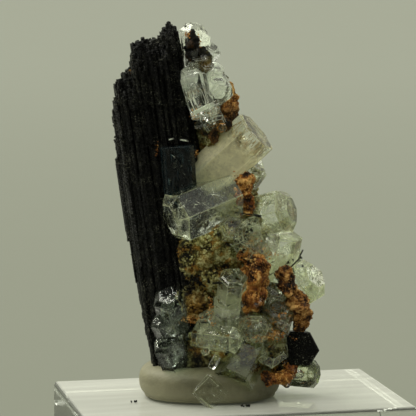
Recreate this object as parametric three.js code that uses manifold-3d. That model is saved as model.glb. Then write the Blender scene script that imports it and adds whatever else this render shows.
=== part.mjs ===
// Aquamarine specimen: clear beryl prisms and a rusty matrix grown on a column of
// black tourmaline, pressed into a lump of putty on a clear slab.
// Millimetres, +Z up, origin at the middle of the slab's underside.
import * as THREE from "three";
import { ConvexGeometry } from "three/addons/geometries/ConvexGeometry.js";
import { mergeVertices } from "three/addons/utils/BufferGeometryUtils.js";
import Module from "manifold-3d";

const wasm = await Module();
wasm.setup();

// Driving dimensions
const SLAB = { width: 58, depth: 36, height: 12, edge: 0.5 };
const SEAT = { x: -4.2, y: 0.1, turn: THREE.MathUtils.degToRad(-12.3) };
const GAP = 0.3; // clearance between pieces that meet
const LEAN = THREE.MathUtils.degToRad(8); // the column's top leans to the left
const FOOT = 2.2; // the column's foot, inside the putty

const MATERIAL = {
  acrylic: finish(0xe4e8dc, 0.03, { transparent: true, opacity: 0.35 }),
  putty: finish(0x98937f, 0.75),
  schorl: finish(0x0b0c0c, 0.25),
  aquamarine: finish(0xc3d0c0, 0.06, { transparent: true, opacity: 0.45 }),
  matrix: finish(0x6b5a2c, 0.9),
  rust: finish(0xa4521c, 0.85),
};

function finish(color, roughness, more = {}) {
  return new THREE.MeshStandardMaterial({ color, roughness, metalness: 0, ...more });
}

// A repeatable series of numbers from 0 to 1
function series(seed) {
  let state = seed * 2654435761;
  return () => {
    state = (state + 0x6d2b79f5) | 0;
    let t = Math.imul(state ^ (state >>> 15), 1 | state);
    t = (t + Math.imul(t ^ (t >>> 7), 61 | t)) ^ t;
    return ((t ^ (t >>> 14)) >>> 0) / 4294967296;
  };
}

// Solids in and out of the library that joins and cuts
function solid(geometry) {
  const bare = geometry.clone();
  bare.deleteAttribute("normal");
  bare.deleteAttribute("uv");
  const merged = mergeVertices(bare, 1e-4);
  return new wasm.Manifold(
    new wasm.Mesh({
      numProp: 3,
      vertProperties: merged.attributes.position.array,
      triVerts: new Uint32Array(merged.index.array),
    }),
  );
}

const join = (solids) => solids.reduce((sum, next) => sum.add(next));
const cut = (body, others) => others.reduce((rest, other) => rest.subtract(other), body);

// A piece without the slivers that a cut leaves beside it
function largest(body) {
  const parts = body.decompose();
  return parts.reduce((best, next) => (next.volume() > best.volume() ? next : best));
}

function meshOf(body, name, material) {
  const made = body.getMesh();
  const corners = new THREE.BufferGeometry();
  corners.setAttribute("position", new THREE.BufferAttribute(made.vertProperties, 3));
  corners.setIndex(new THREE.BufferAttribute(made.triVerts, 1));
  const geometry = corners.toNonIndexed();
  geometry.computeVertexNormals();
  const mesh = new THREE.Mesh(geometry, material);
  mesh.name = name;
  return mesh;
}

// Beryl: a six-sided prism from foot to tip with flat, chamfered ends. One side
// faces the viewer, along -Y, unless spin turns it. width is across the sides,
// and flat is how much nearer the axis the front and back are than the others.
function hexagon(width, flat, random) {
  const reach = Array.from({ length: 6 }, () => (width / 2) * (0.9 + 0.14 * random()));
  reach[1] *= flat;
  reach[4] *= flat;
  const shape = new THREE.Shape();
  reach.forEach((near, i) => {
    const next = reach[(i + 1) % 6];
    const a = ((i + 0.5) * Math.PI) / 3;
    const along = (next - near * Math.cos(Math.PI / 3)) / Math.sin(Math.PI / 3);
    const x = near * Math.cos(a) - along * Math.sin(a);
    const y = near * Math.sin(a) + along * Math.cos(a);
    shape[i ? "lineTo" : "moveTo"](x, y);
  });
  shape.closePath();
  return shape;
}

function beryl({ foot, tip, width, flat = 1, spin = 0, chamfer = 0.12, seed = 1 }, grow = 0) {
  const from = new THREE.Vector3(...foot);
  const axis = new THREE.Vector3(...tip).sub(from);
  const length = axis.length();
  axis.normalize();
  const edge = width * chamfer;
  const geometry = new THREE.ExtrudeGeometry(hexagon(width + 2 * grow, flat, series(seed)), {
    depth: length + 2 * grow - 2 * edge,
    bevelThickness: edge,
    bevelSize: edge,
    bevelOffset: -edge,
    bevelSegments: 1,
  });
  geometry.translate(0, 0, edge - grow);
  geometry.rotateZ(THREE.MathUtils.degToRad(spin));
  const front = new THREE.Vector3(0, -1, 0).addScaledVector(axis, axis.y).normalize();
  const side = new THREE.Vector3().crossVectors(front, axis);
  geometry.applyMatrix4(new THREE.Matrix4().makeBasis(side, front, axis).setPosition(from));
  return solid(geometry);
}

// Tourmaline: a three-sided prism with blunted edges
function threeSided(radius, random) {
  const turn = random() * Math.PI;
  const outline = Array.from({ length: 6 }, (_, i) => {
    const a = turn + ((i + (i % 2 ? 0.2 : -0.2)) * Math.PI) / 3;
    const r = radius * (0.96 + 0.12 * random());
    return new THREE.Vector2(r * Math.cos(a), r * Math.sin(a));
  });
  return new THREE.Shape(outline);
}

function needle({ x, y, radius, low, high, seed }, grow = 0) {
  const geometry = new THREE.ExtrudeGeometry(threeSided(radius + grow, series(seed)), {
    depth: high - low + 2 * grow,
    bevelEnabled: false,
  });
  geometry.translate(0, 0, low - grow);
  geometry.rotateY(-LEAN);
  geometry.translate(x, y, 0);
  return geometry;
}

// The column is a bundle of parallel needles. Corners of its outline, seen from
// the front: how far across at the column's foot, and how high needles reach or
// how low they start there.
const SKYLINE = [
  [-10.7, 35.5],
  [-9.9, 48],
  [-8.9, 53],
  [-7.4, 56.6],
  [-5.4, 58.5],
  [-4.5, 62],
  [-1.4, 63.2],
  [0.6, 66],
  [2.2, 65.4],
  [4.4, 57],
];
const UNDERLINE = [
  [-10.2, 27],
  [-9.5, 14],
  [-8.9, FOOT],
];
const BUNDLE = { middle: -2.7, halfWidth: 5.8, halfDepth: 4.6, pitch: 2.6, rows: 4, radius: 1.8 };

// What grew against the column meets its flat overall sides, not each needle
function aroundColumn(needles, grow) {
  const corners = needles.flatMap((spec) => {
    const place = needle(spec, grow).attributes.position;
    return Array.from({ length: place.count }, (_, i) =>
      new THREE.Vector3().fromBufferAttribute(place, i),
    );
  });
  return solid(new ConvexGeometry(corners));
}

function column(grow = 0) {
  const needles = bundle();
  return grow ? aroundColumn(needles, grow) : join(needles.map((spec) => solid(needle(spec))));
}

function lineAt(line, x) {
  const next = line.findIndex(([edge]) => edge > x);
  if (next === 0) return line[0][1];
  if (next < 0) return line[line.length - 1][1];
  const [x0, z0] = line[next - 1];
  const [x1, z1] = line[next];
  return THREE.MathUtils.mapLinear(x, x0, x1, z0, z1);
}

function bundle() {
  const { middle, halfWidth, halfDepth, pitch, rows, radius } = BUNDLE;
  const random = series(7);
  const needles = [];
  for (let row = 0; row < rows; row++) {
    const y = halfDepth * ((2 * row) / (rows - 1) - 1);
    const reach = halfWidth * Math.sqrt(1 - (y / (halfDepth + 2)) ** 2);
    const count = Math.round((2 * reach) / pitch);
    for (let i = 0; i <= count; i++) {
      const x = middle - reach + (i * 2 * reach) / count;
      const r = radius * (0.95 + 0.2 * random());
      const fall = 4 * (y / halfDepth) ** 2;
      needles.push({
        x: x + 0.2 * (random() - 0.5),
        y: y + 0.3 * (random() - 0.5),
        radius: r,
        low: lineAt(UNDERLINE, x - 0.9 * r) + x * Math.sin(LEAN),
        high: lineAt(SKYLINE, x - 0.4 * r) - fall + 1.6 * (random() - 0.5),
        seed: 100 + needles.length,
      });
    }
  }
  return needles;
}

// Matrix and rust: knobbly lumps. at is the middle, size the radius each way.
function lump({ at, size, rough = 0.16, seed = 1 }, grow = 0) {
  const random = series(seed);
  const waves = Array.from({ length: 7 }, () => ({
    way: new THREE.Vector3(random() - 0.5, random() - 0.5, random() - 0.5),
    pace: 2 + 4 * random(),
    phase: 6.3 * random(),
  }));
  const geometry = new THREE.IcosahedronGeometry(1, 1);
  const place = geometry.attributes.position;
  const p = new THREE.Vector3();
  waves.forEach(({ way, pace }) => way.setLength(pace));
  for (let i = 0; i < place.count; i++) {
    p.fromBufferAttribute(place, i);
    const swell = waves.reduce((sum, { way, phase }) => sum + Math.cos(p.dot(way) + phase), 0);
    const r = 1 + (rough * swell) / Math.sqrt(waves.length);
    place.setXYZ(i, ...p.toArray().map((v, axis) => v * (r * size[axis] + grow)));
  }
  geometry.translate(...at);
  return solid(geometry);
}

// The aquamarines in the specimen's frame: x right, y away, z up from the slab.
// Crystals that run into one another are one cluster.
const BERYLS = {
  aquamarine_top_cluster: [
    { foot: [-1.9, 0.2, 58.6], tip: [-3, -0.8, 65.8], width: 3.5, spin: 12, seed: 11 },
    { foot: [-2.8, -0.4, 59.4], tip: [-1.4, -1.8, 63.8], width: 3.1, spin: 20, seed: 12 },
    { foot: [-1.9, -0.6, 57], tip: [0.4, -2, 61.4], width: 3.4, spin: 5, seed: 13 },
    { foot: [-1.2, -0.8, 55], tip: [0.8, -1.8, 59], width: 3.4, spin: 25, seed: 14 },
    { foot: [-2.9, -4.6, 57.2], tip: [-0.6, -6.7, 49.8], width: 4.1, spin: 4, chamfer: 0.06, seed: 21 },
    { foot: [-0.6, -2, 57.8], tip: [2.1, -6, 52.6], width: 4.5, spin: 15, chamfer: 0.14, seed: 22 },
    { foot: [-0.4, -2.4, 51.4], tip: [1.4, -5.2, 48.2], width: 3.8, spin: 28, seed: 23 },
  ],
  aquamarine_middle_cluster: [
    { foot: [3.8, -3.2, 35.8], tip: [-6.4, -10.2, 32.4], width: 8, spin: 24, chamfer: 0.18, seed: 3 },
    { foot: [-0.4, -3, 38.6], tip: [8.5, -3.6, 47], width: 7.2, flat: 0.9, spin: 4, chamfer: 0.03, seed: 5 },
    { foot: [-4.5, -7.2, 34], tip: [-5.3, -7.2, 44.8], width: 5.2, flat: 0.45, chamfer: 0.03, seed: 8 },
  ],
  aquamarine_right_small: [
    { foot: [6.6, -0.8, 36.8], tip: [8.9, -2.4, 40.6], width: 3.4, spin: 10, chamfer: 0.2, seed: 31 },
  ],
  aquamarine_right_cluster: [
    { foot: [6.2, -1.4, 31], tip: [14.5, -5, 33.5], width: 7.4, spin: 14, chamfer: 0.2, seed: 33 },
    { foot: [5.2, -4.4, 26.8], tip: [7.8, -8.8, 31.8], width: 5.2, spin: 9, chamfer: 0.1, seed: 34 },
    { foot: [12.2, -0.6, 20.6], tip: [13.7, -3, 29], width: 5.2, spin: 6, chamfer: 0.06, seed: 41 },
    { foot: [13.8, 1, 17.8], tip: [18.8, -2.6, 21.6], width: 7, spin: 20, chamfer: 0.22, seed: 43 },
  ],
  aquamarine_lower_cluster: [
    { foot: [4.4, -5, 11.6], tip: [3.7, -9.6, 23.4], width: 5.2, flat: 0.85, spin: 3, chamfer: 0.06, seed: 51 },
    { foot: [-2, -6.8, 11.8], tip: [5.7, -11, 11.6], width: 4.4, spin: 18, chamfer: 0.28, seed: 53 },
    { foot: [0.8, -5.4, 15], tip: [0.2, -9.2, 13.4], width: 4.8, spin: 24, chamfer: 0.3, seed: 54 },
    { foot: [8.6, -3.6, 11.6], tip: [4.2, -9.8, 4.2], width: 6.6, flat: 0.8, spin: 6, chamfer: 0.05, seed: 61 },
    { foot: [9.6, -3.8, 11.4], tip: [7.8, -8.8, 15.4], width: 5.2, spin: 12, chamfer: 0.14, seed: 62 },
    { foot: [11.8, -2.8, 12], tip: [12.1, -6.8, 16.4], width: 4.8, spin: 26, chamfer: 0.16, seed: 63 },
    { foot: [9.6, -2.8, 8.4], tip: [11.2, -8.4, 10], width: 6, spin: 17, chamfer: 0.16, seed: 64 },
    { foot: [11, -2.6, 15.4], tip: [12, -6.2, 19.8], width: 4.4, spin: 8, chamfer: 0.1, seed: 65 },
  ],
  aquamarine_left_foot: [
    { foot: [-5.4, -5, 13.2], tip: [-6.8, -9.2, 19.2], width: 5.2, spin: 15, chamfer: 0.16, seed: 71 },
    { foot: [-5.4, -5.2, 10], tip: [-7.9, -8.6, 15], width: 4.4, spin: 2, chamfer: 0.1, seed: 72 },
    { foot: [-5.2, -5, 6.6], tip: [-7.4, -8.6, 11.4], width: 4.8, spin: 22, chamfer: 0.18, seed: 73 },
  ],
  aquamarine_toe: [
    { foot: [12.6, 0.8, 4], tip: [19.2, -2, 4], width: 4.8, flat: 0.9, spin: 25, chamfer: 0.26, seed: 81 },
  ],
  aquamarine_chip: [
    { foot: [0.8, -8.4, 0.9], tip: [-1.2, -9, 5], width: 4.4, flat: 0.5, spin: 8, chamfer: 0.08, seed: 83 },
  ],
  aquamarine_back_upper: [
    { foot: [0.8, 3.8, 42.6], tip: [4.4, 9.4, 47.4], width: 5, spin: 10, chamfer: 0.14, seed: 91 },
    { foot: [2.8, 3.6, 40.4], tip: [8.8, 7.4, 39.6], width: 4.4, spin: 20, chamfer: 0.12, seed: 92 },
    { foot: [1.8, 4.6, 44], tip: [3.4, 5.6, 53], width: 3.8, spin: 5, chamfer: 0.15, seed: 93 },
  ],
  aquamarine_back_lower: [
    { foot: [5, 1.4, 24.4], tip: [9.4, 10, 31.6], width: 6.4, spin: 8, chamfer: 0.16, seed: 95 },
    { foot: [6, 0.6, 22.4], tip: [15.2, 7.4, 24.2], width: 5.6, spin: 16, chamfer: 0.12, seed: 96 },
    { foot: [5, 1, 19.6], tip: [8.6, 10.4, 13], width: 6.6, spin: 26, chamfer: 0.18, seed: 97 },
    { foot: [4.6, 1.6, 21], tip: [0.2, 10, 22.4], width: 5, spin: 3, chamfer: 0.12, seed: 98 },
  ],
};

// Lumps of rust, each a middle and its radius each way, joined into one crust
const RUST = {
  rust_top: [
    { at: [-2.5, -2.6, 60.6], size: [1.4, 1.7, 2.6], seed: 500 },
  ],
  rust_upper: [
    { at: [4.5, -0.9, 51.4], size: [1.8, 1.8, 3], seed: 501 },
    { at: [3.4, -0.4, 48.6], size: [2.3, 2.2, 2.3], seed: 502 },
  ],
  rust_middle: [
    { at: [6.5, -4.2, 37.8], size: [1.8, 1.8, 2.8], seed: 503 },
    { at: [6.5, -4.3, 34.4], size: [2, 1.8, 2.4], seed: 504 },
  ],
  rust_heart: [
    { at: [8.1, -7.8, 23.4], size: [2.6, 2.2, 3.2], seed: 505 },
    { at: [7.8, -7.9, 18.8], size: [1.9, 1.9, 3], seed: 506 },
  ],
  rust_right: [
    { at: [13.6, -5.4, 20.8], size: [1.9, 2, 2.8], seed: 507 },
    { at: [15.4, -4.6, 16], size: [2.1, 2.2, 3.8], seed: 508 },
  ],
  rust_foot: [
    { at: [10.2, -6.6, 4], size: [2.4, 1.5, 1.4], seed: 509 },
    { at: [13.2, -5.6, 4.5], size: [2, 1.5, 1.5], seed: 510 },
  ],
};

// The matrix fills the angle between the column and the crystals: lumps strung
// along a vein that widens downwards, and a few outliers where it shows.
const VEIN = new THREE.CatmullRomCurve3(
  [
    [0.8, 0.8, 54.4],
    [1.6, 1.4, 46.4],
    [3, 0.8, 36.6],
    [6.4, 0.4, 26.6],
    [7.8, 0.2, 16.4],
    [7.6, 0, 8.2],
  ].map((p) => new THREE.Vector3(...p)),
);
const VEIN_LUMPS = 6;
const VEIN_RADIUS = { top: 2.8, most: 7.4, mostAt: 0.7, foot: 4.8 };
const OUTLIERS = [
  { at: [0.6, -4.4, 26], size: [5.4, 4, 5.6], seed: 301 },
  { at: [-1.2, -5, 17.4], size: [3.6, 3, 4.6], seed: 303 },
  { at: [1, -4.4, 10], size: [4.6, 3.6, 4.2], seed: 304 },
  { at: [12, -3, 8], size: [3.4, 3.4, 4], seed: 307 },
];

function veinRadius(t) {
  const { top, most, mostAt, foot } = VEIN_RADIUS;
  if (t < mostAt) return THREE.MathUtils.lerp(top, most, t / mostAt);
  return THREE.MathUtils.mapLinear(t, mostAt, 1, most, foot);
}

function matrix(grow = 0) {
  const strung = Array.from({ length: VEIN_LUMPS }, (_, i) => {
    const t = i / (VEIN_LUMPS - 1);
    const r = veinRadius(t);
    return { at: VEIN.getPoint(t).toArray(), size: [r, r, 1.3 * r], seed: 200 + i };
  });
  return join([...strung, ...OUTLIERS].map((spec) => lump(spec, grow)));
}

// Putty: a pebble with a flat top and underside, turned and then pressed wide
const PUTTY = { x: 0.2, y: 0, width: 25, depth: 18.6, high: 6.6, rest: 0.05 };

function putty() {
  const { x, y, width, depth, high, rest } = PUTTY;
  const outline = [
    [0, rest],
    [0.9, rest],
    [0.98, 0.22 * high],
    [1, 0.42 * high],
    [0.96, 0.68 * high],
    [0.84, 0.88 * high],
    [0.6, 0.98 * high],
    [0, high],
  ].map(([r, z]) => new THREE.Vector2(r, z));
  const geometry = new THREE.LatheGeometry(outline, 28);
  geometry.rotateX(Math.PI / 2);
  geometry.scale(width / 2, depth / 2, 1);
  geometry.translate(x, y, 0);
  return solid(geometry);
}

// Black tourmaline: the stub seen end-on at the right, with a bud beside it
const STUB = [
  { foot: [15.7, 1.4, 8.4], tip: [16, -5.8, 9.4], width: 6.1, spin: 14, chamfer: 0.04, seed: 111 },
  { foot: [14.2, -2.6, 6.4], tip: [13.5, -5.6, 6], width: 2.4, spin: 5, chamfer: 0.06, seed: 112 },
];

function slab() {
  const { width, depth, height, edge } = SLAB;
  const outline = new THREE.Shape();
  outline.moveTo(-width / 2, -depth / 2);
  outline.lineTo(width / 2, -depth / 2);
  outline.lineTo(width / 2, depth / 2);
  outline.lineTo(-width / 2, depth / 2);
  outline.closePath();
  const geometry = new THREE.ExtrudeGeometry(outline, {
    depth: height - 2 * edge,
    bevelThickness: edge,
    bevelSize: edge,
    bevelOffset: -edge,
    bevelSegments: 1,
  });
  geometry.translate(0, 0, edge);
  return solid(geometry);
}

// Every piece in the order it is fitted: each is cut clear of those before it,
// by the gap, so that the crystals sit in pockets of the matrix.
const joined = (make, specs) => (grow) => join(specs.map((spec) => make(spec, grow)));

const named = (group, look, make) =>
  Object.entries(group).map(([name, specs]) => ({ name, look, make: joined(make, specs) }));

const PIECES = [
  { name: "schorl_column", look: "schorl", make: column },
  ...named({ schorl_stub: STUB }, "schorl", beryl),
  ...named(BERYLS, "aquamarine", beryl),
  ...named(RUST, "rust", lump),
  { name: "matrix", look: "matrix", make: matrix },
  { name: "putty", look: "putty", make: putty },
];

const specimen = new THREE.Group();
const fitted = [];
for (const { name, look, make } of PIECES) {
  const body = largest(cut(make(0), fitted));
  specimen.add(meshOf(body, name, MATERIAL[look]));
  fitted.push(make(GAP));
}
specimen.rotation.z = SEAT.turn;
specimen.position.set(SEAT.x, SEAT.y, SLAB.height);

const part = new THREE.Group();
part.add(meshOf(slab(), "slab", MATERIAL.acrylic), specimen);

export default part;
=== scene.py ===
# %% [markdown]
# # An aquamarine specimen
# The real thing is a mineral specimen about 66 mm tall: a leaning bundle of black
# tourmaline needles, clear pale aquamarine prisms grown up its right side, and a
# rusty, granular matrix that holds them. A lump of putty keeps it upright on a
# clear slab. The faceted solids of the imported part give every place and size. This
# script dresses them: grooves, cracks, grains, and glass that light goes through.

# %% Frame and units
import math

import bmesh
import bpy
import numpy as np
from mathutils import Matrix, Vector


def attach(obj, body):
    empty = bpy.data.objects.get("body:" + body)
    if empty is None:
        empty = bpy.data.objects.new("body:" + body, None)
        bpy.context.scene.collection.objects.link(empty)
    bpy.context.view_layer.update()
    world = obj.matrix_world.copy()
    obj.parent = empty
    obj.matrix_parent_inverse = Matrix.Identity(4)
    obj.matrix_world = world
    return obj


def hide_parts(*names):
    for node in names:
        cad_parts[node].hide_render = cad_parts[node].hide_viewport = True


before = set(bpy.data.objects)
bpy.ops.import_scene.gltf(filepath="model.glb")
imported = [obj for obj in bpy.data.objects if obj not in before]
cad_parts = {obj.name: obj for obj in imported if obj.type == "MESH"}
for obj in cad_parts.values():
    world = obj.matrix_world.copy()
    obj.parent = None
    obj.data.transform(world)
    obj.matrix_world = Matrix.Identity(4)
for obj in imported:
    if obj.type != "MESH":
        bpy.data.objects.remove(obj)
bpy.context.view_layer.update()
MM = 0.001

# %% [markdown]
# ## The specimen's own axes
# On the slab the specimen stands a little turned. Every row below could carry that
# turn, but its own axes are easier to think in: x to the right, y away from the
# viewer, z up from the slab's top, in millimetres. One function takes such points to
# the part's axes in metres, and another takes them back.

# %% From the specimen's axes to the part's
TURN = math.radians(-12.3)
SEAT = np.array([-4.2, 0.1, 12.0])
UP = (0, 0, 1)


def seated(points):
    """Turn by TURN about z, move by SEAT, and go from millimetres to metres."""
    x, y, z = np.moveaxis(np.asarray(points, float), -1, 0)
    c, s = math.cos(TURN), math.sin(TURN)
    return (np.stack([c * x - s * y, s * x + c * y, z], -1) + SEAT) * MM


def unseated(points):
    """The other way: the part's metres to the specimen's millimetres."""
    x, y, z = np.moveaxis(np.asarray(points, float) / MM - SEAT, -1, 0)
    c, s = math.cos(TURN), math.sin(TURN)
    return np.stack([c * x + s * y, -s * x + c * y, z], -1)


def turned(way):
    """A direction in the specimen's axes, as a unit vector in the part's."""
    across = seated(way) - seated([0, 0, 0])
    return across / np.linalg.norm(across)


print("away from the viewer is", turned([0, 1, 0]).round(3))

# %% [markdown]
# ## Meshes from arrays
# Sculpting by hand could make these shapes once. Computed arrays of points and faces
# make the same ones each run, with sizes that can be read. One helper makes the
# object, lets it ride on the part's body, and hides the solids it stands for. Another
# keeps a number at each point, such as how milky a crystal is, for its material.

# %% A piece from points and faces
def added(name, data):
    """A new object with this data, linked to the scene."""
    made = bpy.data.objects.new(name, data)
    bpy.context.scene.collection.objects.link(made)
    return made


def piece(name, points, faces, stands_for=(), smooth=False):
    """A mesh object from an (n, 3) array in metres and a list of faces."""
    mesh = bpy.data.meshes.new(name)
    mesh.from_pydata(np.asarray(points).tolist(), [], faces)
    mesh.shade_smooth() if smooth else mesh.shade_flat()
    mesh.validate()
    made = added(name, mesh)
    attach(made, "root")
    if stands_for:
        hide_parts(*stands_for)
    print(name, len(mesh.polygons), "faces")
    return made


def keep(made, label, values):
    """One number for each point of the mesh, under this label."""
    store = made.data.attributes.new(label, "FLOAT", "POINT")
    store.data.foreach_set("value", np.ascontiguousarray(values, np.float32))


# %% [markdown]
# ## Tubes of rings
# Needles, prisms, films and putty are one kind of shape: rings of points, one after
# another, joined by four-sided faces and closed at both ends. A Screw or Skin
# modifier joins one such path at a time. Arrays of point numbers join them all at once.

# %% Faces between rings
def tubes(counts):
    """Faces for n closed tubes of k rings with m points each."""
    n, k, m = counts
    tube, ring, side = np.meshgrid(np.arange(n), np.arange(k - 1), np.arange(m), indexing="ij")
    a = (tube * k + ring) * m + side
    b = (tube * k + ring) * m + (side + 1) % m
    walls = np.stack([a, b, b + m, a + m], -1).reshape(-1, 4).tolist()
    first = (np.arange(n) * k * m)[:, None] + np.arange(m)
    return walls + first[:, ::-1].tolist() + (first + (k - 1) * m).tolist()


def tube_piece(name, rings, stands_for=(), smooth=False):
    """A piece from an (n, k, m, 3) stack of rings in the specimen's millimetres."""
    points = seated(rings).reshape(-1, 3)
    return piece(name, points, tubes(rings.shape[:3]), stands_for, smooth)


print("a tube of 2 rings with 6 points has", len(tubes((1, 2, 6))), "faces")

# %% [markdown]
# ## Copies of the solids
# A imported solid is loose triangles. A modifier on it would tear it open, so a copy is
# merged first, and triangles that lie in one plane become one flat face. An edge is
# then a real edge, and a Bevel modifier can round it.

# %% A merged copy of a solid
def merged(node):
    """The node's solid as a bmesh with shared corners and whole flat faces."""
    bm = bmesh.new()
    bm.from_mesh(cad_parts[node].data)
    bmesh.ops.remove_doubles(bm, verts=bm.verts, dist=0.002 * MM)
    bmesh.ops.dissolve_limit(bm, angle_limit=math.radians(1), verts=bm.verts, edges=bm.edges)
    return bm


def arrays(bm):
    """Corners as an (n, 3) array and faces as lists of their numbers."""
    bm.verts.index_update()
    corners = np.array([v.co for v in bm.verts])
    return corners, [[v.index for v in f.verts] for f in bm.faces]


def soften(made, label, width, segments, sharper):
    """A live Bevel of this width on edges that turn by more than sharper degrees."""
    bevel = made.modifiers.new(label, "BEVEL")
    bevel.width, bevel.segments = width * MM, segments
    bevel.limit_method, bevel.angle_limit = "ANGLE", math.radians(sharper)


def rounded(name, node, width):
    """A merged copy of the solid with rounded edges, in the solid's place."""
    bm = merged(node)
    corners, faces = arrays(bm)
    bm.free()
    made = piece(name, corners, faces, [node])
    soften(made, "rounded edges", width, 2, 12)
    return made


print("the slab's solid is", len(arrays(merged("slab"))[1]), "flat faces")

# %% [markdown]
# ## Shader maths as Python
# A pattern could be wired up by hand, one Math node after another. Here a Wire stands
# for a node's output, and adding or multiplying wires adds the Math nodes. A pattern
# then reads like a formula.

# %% The Wire class
class Wire:
    """An output socket that builds Math nodes when it meets an operator."""

    def __init__(self, paint, socket):
        self.paint, self.socket = paint, socket

    def _with(self, operation, *values, clamp=False):
        settings = {"operation": operation, "use_clamp": clamp}
        return self.paint.node("Math", settings, dict(enumerate(values)))

    def __add__(self, other):
        return self._with("ADD", self, other)

    def __mul__(self, other):
        return self._with("MULTIPLY", self, other)

    def __sub__(self, other):
        return self._with("SUBTRACT", self, other)

    def __rsub__(self, other):
        return self._with("SUBTRACT", other, self)

    def __pow__(self, other):
        return self._with("POWER", self, other)

    __radd__, __rmul__ = __add__, __mul__

    def clamped(self):
        return self._with("ADD", self, 0.0, clamp=True)

    def rise(self, low, high):
        """0 below low, 1 above high, smooth between."""
        settings = {"interpolation_type": "SMOOTHSTEP"}
        return self.paint.node("MapRange", settings, {0: self, 1: low, 2: high})


# %% [markdown]
# ## A material's nodes
# Every material here needs the same few things: the place of the point being shaded,
# noise of a given size, a ramp of colours, a bump and a shader. A Paint holds one
# material's nodes, and its one method that adds any node serves all the others.

# %% The Paint class
class Paint:
    """A material's node tree, with one method that adds any node."""

    def __init__(self, name, kind="materials"):
        self.material = getattr(bpy.data, kind).new(name)
        self.material.use_nodes = True
        self.tree = self.material.node_tree
        self.tree.nodes.clear()

    def node(self, kind, settings=None, sockets=None, output=0):
        """A node of this kind. Settings are set first, then its sockets' values or links."""
        made = self.tree.nodes.new("ShaderNode" + kind)
        for key, value in (settings or {}).items():
            if key == "stops":
                self._stops(made.color_ramp, value)
            else:
                setattr(made, key, value)
        for key, value in (sockets or {}).items():
            self._plug(made.inputs[key], value)
        return Wire(self, made.outputs[output])

    def _stops(self, ramp, stops):
        while len(ramp.elements) < len(stops):
            ramp.elements.new(1.0)
        for element, (place, colour) in zip(ramp.elements, stops):
            element.position = place
            element.color = (*colour, 1.0)

    def _plug(self, socket, value):
        if isinstance(value, Wire):
            self.tree.links.new(value.socket, socket)
        elif socket.type == "RGBA" and len(value) == 3:
            socket.default_value = (*value, 1.0)
        else:
            socket.default_value = value

    def vector(self, operation, *values, output=0, **more):
        """A Vector Math node over these vectors."""
        return self.node("VectorMath", {"operation": operation}, {**dict(enumerate(values)), **more}, output)

    def place(self):
        """The point being shaded, in millimetres of the part's axes."""
        return self.vector("SCALE", self.node("TexCoord", output="Object"), Scale=1 / MM)

    def along(self, where, way):
        """How far where lies along way."""
        return self.vector("DOT_PRODUCT", where, way, output=1)

    def kept(self, label):
        """The number that the mesh keeps at its points under this label."""
        return self.node("Attribute", {"attribute_name": label}, output=2)

    def noise(self, where, size, detail=3.0, rough=0.55, distortion=0.0):
        """Noise from 0 to 1 whose blobs are about size across."""
        sockets = {"Vector": where, "Scale": 1 / size, "Detail": detail, "Roughness": rough}
        return self.node("TexNoise", {}, {**sockets, "Distortion": distortion})

    def ramp(self, factor, *stops):
        return self.node("ValToRGB", {"stops": stops}, {0: factor})

    def blend(self, factor, a, b):
        """Colour a where factor is 0 and b where it is 1."""
        return self.node("Mix", {"data_type": "RGBA"}, {0: factor, 6: a, 7: b}, output=2)

    def bump(self, height, distance, strength=1.0):
        return self.node("Bump", {}, {"Height": height, "Distance": distance, "Strength": strength})

    def shader(self, **looks):
        """A Principled shader: its sockets by name, with _ for a space."""
        sockets = {key.replace("_", " "): value for key, value in looks.items()}
        return self.node("BsdfPrincipled", {}, sockets)

    def mixed(self, factor, a, b):
        return self.node("MixShader", {}, {0: factor, 1: a, 2: b})

    def lamps_pass(self, body, colour):
        """The body to the eye, but only a tint of this colour to a lamp's light."""
        lamp = self.node("LightPath", output=1)
        return self.mixed(lamp, body, self.node("BsdfTransparent", {}, {"Color": colour}))

    def done(self, surface, volume=None, kind="Material"):
        out = self.tree.nodes.new("ShaderNodeOutput" + kind)
        self.tree.links.new(surface.socket, out.inputs["Surface"])
        if volume:
            self.tree.links.new(volume.socket, out.inputs["Volume"])
        return self.material


def wear(thing, material):
    """Give the object this one material."""
    thing.data.materials.clear()
    thing.data.materials.append(material)


def linear(red, green, blue):
    """A colour as seen on a screen, 0 to 255, as the light that it stands for."""
    screen = np.array([red, green, blue]) / 255
    return tuple(np.where(screen > 0.04045, ((screen + 0.055) / 1.055) ** 2.4, screen / 12.92))


print("one light grey:", [round(float(v), 3) for v in linear(163, 166, 148)])

# %% [markdown]
# ## Black tourmaline
# Schorl grows as long needles side by side, packed into a bundle. One grooved block
# could stand for it, but the real one's top and flanks show single needles that end
# at different heights. So a six-way lattice, shaken a little, gives each needle's
# place in an oval, and two curves give its foot and its top.

# %% The bundle's places and heights
LEAN = math.radians(8)
BUNDLE_MIDDLE, BUNDLE_HALF_WIDTH, BUNDLE_HALF_DEPTH = -2.8, 7.1, 5.7
OVAL_POWER = 2.4  # 2 is an ellipse, more is squarer
NEEDLE_PITCH, NEEDLE_SHAKE = 0.56, 0.2
NEEDLE_RADIUS, THICK_NEEDLE_MORE = (0.30, 0.46), 0.16
SKYLINE_X = [-10.4, -9.7, -9.2, -8.6, -7.75, -6.3, -5.2, -4.6, -2.9, -1.0, 0.2, 0.8, 2.2, 3.1, 4.0, 4.6]
SKYLINE_Z = [36.0, 47.0, 51.2, 53.8, 56.6, 57.4, 58.4, 62.2, 63.2, 63.0, 63.4, 64.6, 66.0, 65.1, 63.6, 58.0]
HIGHEST = 66.2
START_X = [-10.2, -9.7, -9.1, -8.6]
START_Z = [29.0, 19.0, 9.0, 2.2]


def from_bundle_middle(x, y):
    """0 on the bundle's middle line and 1 on its oval outline."""
    across = np.abs((x - BUNDLE_MIDDLE) / BUNDLE_HALF_WIDTH) ** OVAL_POWER
    return across + np.abs(y / BUNDLE_HALF_DEPTH) ** OVAL_POWER


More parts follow.
